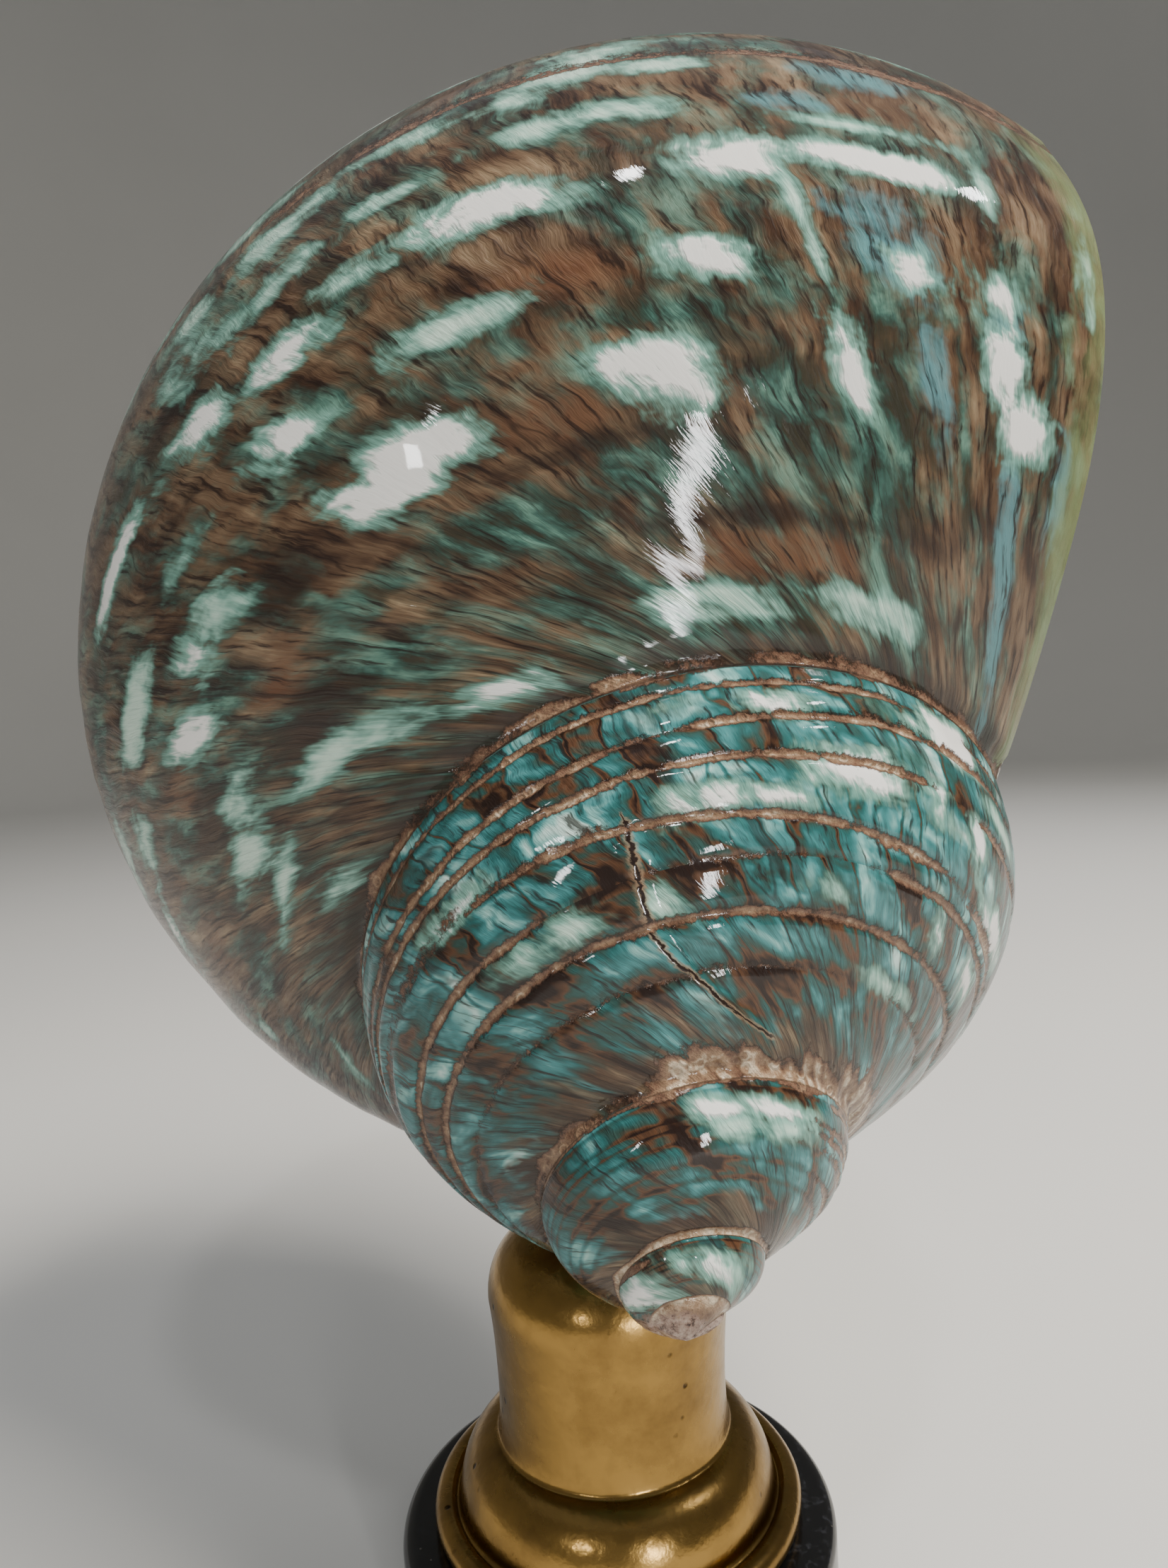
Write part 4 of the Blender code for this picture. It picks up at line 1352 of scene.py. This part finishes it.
        # The small whorls and the smooth zone above the lower suture keep hardly any blocks.
        plain = add_node(tree, "MapRange", inputs_of(across, *self.plain_range)).outputs[0]
        early = add_node(tree, "MapRange", inputs_of(turn, *self.early_range)).outputs[0]
        plain = add_node(tree, "Math", inputs_of(plain, early), operation="MULTIPLY").outputs[0]
        lines = self.edge_of(tree, place, *self.block_edge)
        threads = self.edge_of(tree, band, *self.thread_edge)
        cuts = add_node(tree, "Math", inputs_of(dice, self.block_spread, lines),
                        operation="MULTIPLY_ADD").outputs[0]
        brown = add_node(tree, "MapRange", inputs_of(dice, *self.brown_range)).outputs[0]
        cuts = add_node(tree, "Math", inputs_of(cuts, brown), operation="ADD").outputs[0]
        cloud = add_node(tree, "MapRange",
                         inputs_of(self.stretched(tree, grain, self.cloud), *self.cloud_range))
        cloud = add_node(tree, "Math", inputs_of(cloud.outputs[0], threads), operation="ADD").outputs[0]
        tone = add_node(tree, "Math", inputs_of(cuts, plain, cloud), operation="MULTIPLY_ADD").outputs[0]
        colour = self.filled(add_node(tree, "ValToRGB", {"Fac": tone}), self.block)
        # Blocks fill the whorls from the tip to where the body whorl starts, and fray out above the suture.
        spire = add_node(tree, "MapRange", inputs_of(turn, *self.spire_range)).outputs[0]
        lower = self.stretched(tree, grain, self.fringe)
        lower = add_node(tree, "Math", inputs_of(lower, self.fringe_share, across),
                         operation="MULTIPLY_ADD").outputs[0]
        lower = add_node(tree, "Math", inputs_of(early, self.early_share, lower),
                         operation="MULTIPLY_ADD").outputs[0]
        lower = add_node(tree, "MapRange", inputs_of(lower, *self.fringe_range)).outputs[0]
        return add_node(tree, "Math", inputs_of(spire, lower), operation="MULTIPLY").outputs[0], colour

    def edge_of(self, tree: NodeTree, steps: NodeSocket, start: float, depth: float) -> NodeSocket:
        """Zero inside each whole step of a number, falling to minus the depth at its borders."""
        part = add_node(tree, "Math", inputs_of(steps), operation="FRACT").outputs[0]
        off = self.off_from(tree, part, 0.5)
        return add_node(tree, "MapRange", inputs_of(off, start, 0.5, 0.0, -depth),
                        interpolation_type="SMOOTHSTEP").outputs[0]

    def over_crack(self, tree: NodeTree, grain: NodeSocket, colour: NodeSocket) -> NodeSocket:
        """The healed crack: a thin dark line between two pale torn edges."""
        signed, near = (add_node(tree, "Attribute", attribute_name=name).outputs["Fac"]
                        for name in ("crack", "crack_near"))
        waver = self.stretched(tree, grain, self.crack_grain)
        off = add_node(tree, "Math", inputs_of(waver, self.crack_waver, signed),
                       operation="MULTIPLY_ADD").outputs[0]
        off = self.off_from(tree, off, self.crack_waver / 2)
        here = add_node(tree, "MapRange", inputs_of(near, *self.crack_reach)).outputs[0]
        for span, tint, most in ((self.crack_torn, self.torn, self.torn_most),
                                 (self.crack_line, self.dark, 1.0)):
            line = add_node(tree, "MapRange", inputs_of(off, *span)).outputs[0]
            line = add_node(tree, "Math", inputs_of(line, here), operation="MULTIPLY").outputs[0]
            colour = self.mixed(tree, line, colour, linear(tint), most)
        return colour

    @staticmethod
    def mixed(tree: NodeTree, share: NodeSocket, colour: NodeSocket, over: Any,
              most: float = 1.0) -> NodeSocket:
        """Lays one colour over another.

        Args:
            tree: the material's tree.
            share: mask from 0 to 1.
            colour: what lies below.
            over: colour on top.
            most: greatest share of the colour on top.

        Returns:
            The mixed colour's socket.
        """
        if most < 1:
            share = add_node(tree, "Math", inputs_of(share, most), operation="MULTIPLY").outputs[0]
        return add_node(tree, "Mix", {0: share, 6: colour, 7: over}, data_type="RGBA").outputs[2]

    @staticmethod
    def filled(ramp: Node, stops: Stops) -> NodeSocket:
        """Sets a colour ramp's stops from places and hex colours, and returns its colour."""
        elements = ramp.color_ramp.elements
        while len(elements) < len(stops):
            elements.new(0.5)
        for element, (place, code) in zip(elements, stops):
            element.position = place
            element.color = linear(code)
        return ramp.outputs["Color"]

    def over_crust(self, tree: NodeTree, colour: NodeSocket) -> tuple[NodeSocket, NodeSocket, NodeSocket]:
        """Lays the old crust over the polish: tan on the threads, cream with small worm coils at the sutures.

        Args:
            tree: the material's tree.
            colour: the polished shell's colour.

        Returns:
            The colour's socket, the crust's mask and the height of its grit.
        """
        place = add_node(tree, "TexCoord").outputs["Object"]
        place = add_node(tree, "VectorMath", {0: place, 3: 1 / MM}, operation="SCALE").outputs[0]
        grit = add_node(tree, "TexNoise", {"Vector": place, "Scale": self.grit_per_mm, "Detail": 4.0,
                                           "Roughness": 0.75}).outputs["Fac"]
        coils = add_node(tree, "TexVoronoi", {"Vector": place, "Scale": 1 / self.coil_mm}).outputs[0]
        coils = self.off_from(tree, coils, self.coil_radius)
        coils = add_node(tree, "MapRange", inputs_of(coils, *self.coil_range)).outputs[0]
        amount = add_node(tree, "Attribute", attribute_name=Tint.CRUST.value).outputs["Fac"]
        rough = add_node(tree, "Math", inputs_of(grit, amount), operation="ADD").outputs[0]
        crusted = add_node(tree, "MapRange", inputs_of(rough, *self.crust_range)).outputs[0]
        ringed = add_node(tree, "Math", inputs_of(coils, amount), operation="MULTIPLY").outputs[0]
        tone = add_node(tree, "Math", inputs_of(rough, 0.5), operation="MULTIPLY").outputs[0]
        tone = add_node(tree, "Math", inputs_of(ringed, self.coil_share, tone),
                        operation="MULTIPLY_ADD").outputs[0]
        over = self.filled(add_node(tree, "ValToRGB", {"Fac": tone}), self.crust)
        colour = self.mixed(tree, crusted, colour, over)
        turn = add_node(tree, "Attribute", attribute_name="turn").outputs["Fac"]
        worn = add_node(tree, "Math", inputs_of(grit, 0.5, turn), operation="MULTIPLY_ADD").outputs[0]
        worn = add_node(tree, "MapRange", inputs_of(worn, *self.tip_range)).outputs[0]
        over = self.filled(add_node(tree, "ValToRGB", {"Fac": grit}), self.tip)
        colour = self.mixed(tree, worn, colour, over)
        crusted = add_node(tree, "Math", inputs_of(crusted, worn), operation="MAXIMUM").outputs[0]
        height = add_node(tree, "Math", inputs_of(ringed, self.coil_rise, grit),
                          operation="MULTIPLY_ADD").outputs[0]
        height = add_node(tree, "Math", inputs_of(height, crusted), operation="MULTIPLY").outputs[0]
        return colour, crusted, height

    def over_pearl(self, tree: NodeTree, grain: NodeSocket, colour: NodeSocket) -> NodeSocket:
        """Lays mother-of-pearl over the lining of the mouth."""
        pearl = add_node(tree, "Attribute", attribute_name="pearl").outputs["Fac"]
        cloud = self.stretched(tree, grain, self.lining)
        over = self.filled(add_node(tree, "ValToRGB", {"Fac": cloud}), self.pearl)
        return self.mixed(tree, pearl, colour, over)

    def wrinkled(self, tree: NodeTree, wrinkle: NodeSocket, white: NodeSocket, grit: NodeSocket,
                 shader: Node) -> None:
        """Fine growth wrinkles and the crust's grit as a shading height, shallow on white patches and lining.

        Args:
            tree: the material's tree.
            wrinkle: height of the growth wrinkles.
            white: mask of the white patches.
            grit: height of the rough crust.
            shader: node that takes the bent normals.
        """
        pearl = add_node(tree, "Attribute", attribute_name="pearl").outputs["Fac"]
        smooth = add_node(tree, "Math", inputs_of(white, pearl), operation="MAXIMUM").outputs[0]
        share = add_node(tree, "MapRange", inputs_of(smooth, 0.0, 1.0, 1.0, self.smooth_rise)).outputs[0]
        fine = add_node(tree, "Math", inputs_of(wrinkle, share), operation="MULTIPLY").outputs[0]
        height = add_node(tree, "Math", inputs_of(grit, self.grit_rise, fine),
                          operation="MULTIPLY_ADD").outputs[0]
        for (rise, strength), name in ((self.wrinkle_rise, "Normal"), (self.coat_rise, "Coat Normal")):
            bump = add_node(tree, "Bump", {"Height": height, "Distance": rise * MM, "Strength": strength})
            tree.links.new(bump.outputs[0], shader.inputs[name])


@dataclass(frozen=True)
class PolishedBrass:
    """Turned and polished brass, handled for years: a warm mirror with small pits and a brown bloom."""

    bright: str = "#a28148"
    tarnish: str = "#6b5330"
    pit: str = "#3a2a14"
    # Handling leaves the bloom in clouds of about 9 mm, duller than the polish between them.
    bloom_mm: float = 9.0
    bloom_range: tuple[float, ...] = (0.42, 0.80)
    gloss_range: tuple[float, ...] = (0.35, 0.75, 0.22, 0.36)
    # Casting pits of about 0.7 mm, a few millimetres apart, and only where the bloom is strong.
    pit_mm: float = 2.6
    pit_range: tuple[float, ...] = (0.10, 0.17, 1.0, 0.0)
    pit_chance: tuple[float, ...] = (0.52, 0.60)
    pit_depth: float = -0.8
    # Handling marks, 1.2 mm across and hardly deep enough to see.
    mark_mm: float = 1.2
    rise: tuple[float, float] = (0.12, 0.45)

    def material(self) -> Material:
        """Builds the node material."""
        made, tree, shader = new_material("turned_polished_brass")
        place = add_node(tree, "TexCoord").outputs["Object"]
        bloom = add_node(tree, "TexNoise", {"Vector": place, "Scale": 1 / (self.bloom_mm * MM), "Detail": 5.0,
                                            "Roughness": 0.62}).outputs["Fac"]
        worn = add_node(tree, "MapRange", inputs_of(bloom, *self.bloom_range)).outputs[0]
        colour = add_node(tree, "Mix", {0: worn, 6: linear(self.bright), 7: linear(self.tarnish)},
                          data_type="RGBA").outputs[2]
        pits = add_node(tree, "TexVoronoi",
                        {"Vector": place, "Scale": 1 / (self.pit_mm * MM)}).outputs["Distance"]
        pitted = add_node(tree, "MapRange", inputs_of(pits, *self.pit_range)).outputs[0]
        chance = add_node(tree, "MapRange", inputs_of(bloom, *self.pit_chance)).outputs[0]
        pitted = add_node(tree, "Math", inputs_of(pitted, chance), operation="MULTIPLY").outputs[0]
        colour = add_node(tree, "Mix", {0: pitted, 6: colour, 7: linear(self.pit)},
                          data_type="RGBA").outputs[2]
        tree.links.new(colour, shader.inputs["Base Color"])
        shader.inputs["Metallic"].default_value = 1.0
        rough = add_node(tree, "MapRange", inputs_of(bloom, *self.gloss_range)).outputs[0]
        tree.links.new(rough, shader.inputs["Roughness"])
        fine = add_node(tree, "TexNoise", {"Vector": place, "Scale": 1 / (self.mark_mm * MM),
                                           "Detail": 4.0}).outputs["Fac"]
        sunk = add_node(tree, "Math", inputs_of(pitted, self.pit_depth, fine),
                        operation="MULTIPLY_ADD").outputs[0]
        rise, strength = self.rise
        bump = add_node(tree, "Bump", {"Height": sunk, "Distance": rise * MM, "Strength": strength})
        tree.links.new(bump.outputs[0], shader.inputs["Normal"])
        return made


@dataclass(frozen=True)
class PolishedBlackStone:
    """Black stone, turned and polished: near black with a clean wet shine and a breath of dust."""

    body: str = "#0d0d0e"
    fleck: str = "#25262a"
    dust: str = "#6f6a62"
    ior: float = 1.55
    # Crystal grain of 0.9 mm, its lightest parts as flecks.
    grain_mm: float = 0.9
    fleck_range: tuple[float, ...] = (0.55, 0.75)
    rise: tuple[float, float] = (0.02, 0.3)
    # Dust specks of 0.1 mm, drawn at more than twice that so that they show, one in every 1.9 mm.
    speck_mm: float = 1.9
    speck_range: tuple[float, ...] = (0.05, 0.09, 0.5, 0.0)
    # Finger marks dull the polish in clouds of 14 mm.
    haze_mm: float = 14.0
    gloss_range: tuple[float, ...] = (0.35, 0.7, 0.09, 0.24)

    def material(self) -> Material:
        """Builds the node material."""
        made, tree, shader = new_material("polished_black_stone")
        place = add_node(tree, "TexCoord").outputs["Object"]
        grain, haze = (
            add_node(tree, "TexNoise",
                     {"Vector": place, "Scale": 1 / (size * MM), "Detail": detail}).outputs["Fac"]
            for size, detail in ((self.grain_mm, 4.0), (self.haze_mm, 3.0)))
        flecks = add_node(tree, "MapRange", inputs_of(grain, *self.fleck_range)).outputs[0]
        colour = add_node(tree, "Mix", {0: flecks, 6: linear(self.body), 7: linear(self.fleck)},
                          data_type="RGBA").outputs[2]
        specks = add_node(tree, "TexVoronoi", {"Vector": place,
                                               "Scale": 1 / (self.speck_mm * MM)}).outputs["Distance"]
        dusty = add_node(tree, "MapRange", inputs_of(specks, *self.speck_range)).outputs[0]
        colour = add_node(tree, "Mix", {0: dusty, 6: colour, 7: linear(self.dust)},
                          data_type="RGBA").outputs[2]
        tree.links.new(colour, shader.inputs["Base Color"])
        rough = add_node(tree, "MapRange", inputs_of(haze, *self.gloss_range)).outputs[0]
        tree.links.new(rough, shader.inputs["Roughness"])
        shader.inputs["IOR"].default_value = self.ior
        rise, strength = self.rise
        bump = add_node(tree, "Bump", {"Height": grain, "Distance": rise * MM, "Strength": strength})
        tree.links.new(bump.outputs[0], shader.inputs["Normal"])
        return made


@dataclass(frozen=True)
class PaintedFloor:
    """Matt pale studio floor: even and soft, so that only the object draws the eye."""

    pale: str = "#d6d5d1"
    shade: str = "#cdccc8"
    roughness: float = 0.8
    # Uneven paint, in clouds a third of a metre wide.
    cloud_scale: float = 3.0

    def material(self) -> Material:
        """Builds the node material."""
        made, tree, shader = new_material("matt_painted_floor")
        place = add_node(tree, "TexCoord").outputs["Object"]
        cloud = add_node(tree, "TexNoise", {"Vector": place, "Scale": self.cloud_scale,
                                            "Detail": 2.0}).outputs["Fac"]
        colour = add_node(tree, "Mix", {0: cloud, 6: linear(self.pale), 7: linear(self.shade)},
                          data_type="RGBA").outputs[2]
        tree.links.new(colour, shader.inputs["Base Color"])
        shader.inputs["Roughness"].default_value = self.roughness
        return made


def arc(centre: tuple[float, float], radius: float, start_deg: float, end_deg: float, steps: int) -> Profile:
    """Points on an arc in the plane of radius and height.

    Args:
        centre: middle of the arc.
        radius: its radius.
        start_deg: first angle in degrees.
        end_deg: last angle in degrees.
        steps: number of steps.

    Returns:
        Points from the first angle to the last.
    """
    angles = [math.radians(start_deg + (end_deg - start_deg) * index / steps) for index in range(steps + 1)]
    return [(centre[0] + radius * math.cos(a), centre[1] + radius * math.sin(a)) for a in angles]


def turned(name: str, profile: Profile, material: Material, dents_mm: float = 0.0, seed: int = 0) -> Object:
    """Turns a profile round +Z into a closed smooth mesh.

    Args:
        name: name of the piece.
        profile: radius and height in millimetres, from axis to axis.
        material: what it is dressed in.
        dents_mm: greatest depth of soft dents.
        seed: picks the dents.

    Returns:
        The new object.
    """
    sides, dents_round, dent_height = 160, 18, 5.0
    angle = np.arange(sides) * TURN / sides
    points = [[0.0, 0.0, profile[0][1]], [0.0, 0.0, profile[-1][1]]]
    rows = []
    for radius, height in profile[1:-1]:
        place = np.abs(angle / TURN - 0.5) * dents_round
        dent = value_noise(place, np.full(sides, height / dent_height), seed) * dents_mm
        rows.append(np.arange(len(points), len(points) + sides))
        points += ring_points(radius + dent, angle, height)
    faces = []
    for before, after in zip(rows, rows[1:]):
        faces += np.stack([before, np.roll(before, -1), np.roll(after, -1), after], -1).tolist()
    faces += np.stack([np.roll(rows[0], -1), rows[0], np.zeros(sides, int)], -1).tolist()
    faces += np.stack([rows[-1], np.roll(rows[-1], -1), np.ones(sides, int)], -1).tolist()
    return mesh_object(name, np.array(points) * MM, faces, material)


@dataclass(frozen=True)
class BlackPlinth:
    """Round plinth. Sizes in millimetres."""

    radius: float = 25.0
    height: float = 12.0
    edge: float = 1.6

    def build(self, finish: PolishedBlackStone) -> Object:
        """Turns the plinth and dresses it."""
        inner = self.radius - self.edge
        low = self.edge / 2
        profile: Profile = [(0, 0), (inner * 0.5, 0)]
        profile += arc((inner + low, low), low, -90, 0, 10)
        profile += [(self.radius, self.height * step / 8) for step in range(2, 6)]
        profile += arc((inner, self.height - self.edge), self.edge, 0, 90, 16)
        profile += [(radius, self.height) for radius in (inner - 0.15, inner * 0.6, inner * 0.3, 0)]
        return turned("black_plinth_stone", profile, finish.material())


@dataclass(frozen=True)
class BrassStand:
    """Turned brass foot with a beaded rim, a low dome and a neck with a rounded top. Sizes in millimetres."""

    bottom: float = 12.3
    rim_radius: float = 21.2
    rim_thickness: float = 3.0
    groove_radius: float = 18.7
    groove_depth: float = 0.7
    groove_width: float = 0.5
    dome_lift: float = 2.0
    dome_sink: float = 0.6
    dome_height: float = 7.7
    waist_rise: float = 4.0
    waist_inset: float = 0.1
    neck_radius: float = 13.2
    neck_top_radius: float = 13.8
    shoulder_height: float = 38.0
    crown_rise: float = 9.35
    crown_power: float = 2.2
    bead_arc_deg: tuple[float, float] = (-60, 112)
    bevel: float = 0.12
    dome_arc_deg: tuple[float, float] = (4, 86)
    waist_flare: float = 0.3
    dome_steps: int = 28
    waist_steps: int = 8
    neck_steps: int = 12
    crown_steps: int = 30
    dents_mm: float = 0.07
    seed: int = 2

    def build(self, finish: PolishedBrass) -> Object:
        """Turns the stand and dresses it."""
        bead = self.rim_thickness / 2
        bead_centre = self.rim_radius - bead
        foot = self.bottom + self.rim_thickness - self.dome_sink
        top = self.bottom + self.dome_lift + self.dome_height
        groove_floor = self.bottom + self.rim_thickness - self.groove_depth
        profile: Profile = [(radius, self.bottom) for radius in (0, bead_centre * 0.5, bead_centre - 0.4)]
        profile += arc((bead_centre, self.bottom + bead), bead, *self.bead_arc_deg, 26)
        profile += [(self.groove_radius + self.bevel, groove_floor + self.bevel),
                    (self.groove_radius, groove_floor), (self.groove_radius - 0.2, groove_floor - 0.02)]
        reach = self.groove_radius - self.groove_width - self.neck_radius
        low, high = self.dome_arc_deg
        for index in range(self.dome_steps + 1):
            rise = math.radians(low + (high - low) * index / self.dome_steps)
            profile.append((self.neck_radius + reach * math.cos(rise), foot + (top - foot) * math.sin(rise)))
        waist = top + self.waist_rise
        waist_radius = self.neck_radius - self.waist_inset
        for index in range(1, self.waist_steps + 1):
            climb = index / self.waist_steps
            radius = self.neck_radius + self.waist_flare * (1 - climb)**4 - self.waist_inset * climb
            profile.append((radius, top + self.waist_rise * climb))
        for index in range(1, self.neck_steps + 1):
            climb = index / self.neck_steps
            radius = waist_radius + (self.neck_top_radius - waist_radius) * climb**2
            profile.append((radius, waist + (self.shoulder_height - waist) * climb))
        for index in range(1, self.crown_steps):
            turn = math.radians(90 * index / self.crown_steps)
            radius = self.neck_top_radius * math.cos(turn)**(2 / self.crown_power)
            rise = self.crown_rise * math.sin(turn)**(2 / self.crown_power)
            profile.append((radius, self.shoulder_height + rise))
        profile += [(0, self.shoulder_height + self.crown_rise)]
        return turned("brass_stand_turned", profile, finish.material(), self.dents_mm, self.seed)


@dataclass(frozen=True)
class Lamp:
    """A soft area light aimed at the shell, by its bearing round the shell, height and size in metres."""

    name: str
    bearing_deg: float
    height_deg: float
    distance: float
    size: tuple[float, float]
    watts: float
    colour: str = "#ffffff"
    mirrored: bool = True


@dataclass(frozen=True)
class Studio:
    """Floor, lights and the camera at the photograph's angle."""

    aim: tuple[float, float, float] = (0.0, 0.015, 0.105)
    eye_mm: tuple[float, float, float] = (0.22, -121.18, 104.61)
    eye_deg: tuple[float, float, float] = (85.901, 2.885, -0.207)
    focal_px: float = 1537.0
    image_px: tuple[int, int] = (1652, 2217)
    sensor_mm: float = 36.0
    floor_m: float = 1.5
    cove_m: float = 0.7
    wall_m: float = 2.4
    floor_sides: int = 96
    sky: str = "#e4e7ea"
    sky_strength: float = 0.33
    lamps: tuple[Lamp, ...] = (
        Lamp("overhead_softbox", 65, 55, 0.75, (0.45, 0.30), 11.0, "#fff8ee", False),
        Lamp("side_softbox", -75, 28, 0.8, (0.4, 0.5), 0.6, "#f2f6ff", False),
        Lamp("window_strip", 21, 2, 0.60, (0.034, 0.13), 0.9),
        Lamp("small_window", -24, 12, 0.60, (0.03, 0.05), 0.25),
        Lamp("high_window", 80, 45, 0.60, (0.05, 0.03), 0.3),
        Lamp("front_window", 8, 62, 0.60, (0.04, 0.04), 0.5),
        Lamp("back_softbox", 150, 40, 0.9, (0.5, 0.4), 2.0, "#f6f8ff", False),
    )

    def build(self) -> None:
        """Makes the floor, the sky, the lamps and the camera."""
        self.build_floor()
        self.build_sky()
        for lamp in self.lamps:
            self.build_lamp(lamp)
        self.build_camera()

    def build_floor(self) -> None:
        """Turns a plain pale floor that curves up into a wall all round."""
        sides = self.floor_sides
        profile = [(self.floor_m, 0.0)] + arc((self.floor_m, self.cove_m), self.cove_m, -90, 0, 12)[1:]
        profile.append((self.floor_m + self.cove_m, self.wall_m))
        angle = np.arange(sides) * TURN / sides
        points = [[0.0, 0.0, 0.0]]
        rings = []
        for radius, height in profile:
            rings.append(np.append(np.arange(sides), 0) + len(points))
            points += ring_points(radius, angle, height)
        faces = np.stack([np.zeros(sides, int), rings[0][:-1], rings[0][1:]], -1).tolist()
        for before, after in zip(rings, rings[1:]):
            faces += quads(after, before).tolist()
        floor = mesh_object("studio_floor", np.array(points), faces, PaintedFloor().material())

    def build_sky(self) -> None:
        """Sets an even pale light all round."""
        world = bpy.data.worlds.new("studio_air")
        world.use_nodes = True
        background = world.node_tree.nodes["Background"]
        background.inputs["Color"].default_value = linear(self.sky)
        background.inputs["Strength"].default_value = self.sky_strength
        bpy.context.scene.world = world

    def build_lamp(self, lamp: Lamp) -> None:
        """Hangs one area light, facing the shell."""
        data = bpy.data.lights.new(lamp.name, "AREA")
        data.shape = "RECTANGLE"
        data.size, data.size_y = lamp.size
        data.energy = lamp.watts
        data.color = linear(lamp.colour)[:3]
        item = bpy.data.objects.new(lamp.name, data)
        bearing = math.radians(lamp.bearing_deg)
        height = math.radians(lamp.height_deg)
        level = math.cos(height)
        back = Vector((math.sin(bearing) * level, -math.cos(bearing) * level, math.sin(height)))
        item.location = Vector(self.aim) + back * lamp.distance
        item.rotation_euler = (-back).to_track_quat("-Z", "Y").to_euler()
        item.visible_glossy = lamp.mirrored
        bpy.context.scene.collection.objects.link(item)

    def build_camera(self) -> None:
        """Places the camera where the photograph was taken from."""
        data = bpy.data.cameras.new("photo_camera")
        data.sensor_width = self.sensor_mm
        data.lens = self.focal_px * self.sensor_mm / max(self.image_px)
        data.clip_start = 0.01
        data.dof.use_dof = False
        item = bpy.data.objects.new("photo_camera", data)
        item.location = Vector(self.eye_mm) * MM
        item.rotation_euler = Euler([math.radians(value) for value in self.eye_deg], "XYZ")
        bpy.context.scene.collection.objects.link(item)
        bpy.context.scene.camera = item


def seat(item: Object, node: str) -> None:
    """Lets a piece ride on the object and stand for its CAD node."""
    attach(item, "root")
    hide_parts(node)
    LOG.info("%s: %d faces, stands for %s", item.name, len(item.data.polygons), node)


def main() -> None:
    """Builds the pieces in order, then the studio."""
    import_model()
    seat(TurboShell().build(PolishedTurbanShell()), "turbo_shell")
    seat(BrassStand().build(PolishedBrass()), "brass_stand")
    seat(BlackPlinth().build(PolishedBlackStone()), "black_plinth")
    studio = Studio()
    studio.build()
    LOG.info("studio: floor, sky, %d lamps and the camera", len(studio.lamps))
    bpy.context.view_layer.update()


if __name__ == "__main__":
    logging.basicConfig(level=logging.INFO)
    main()
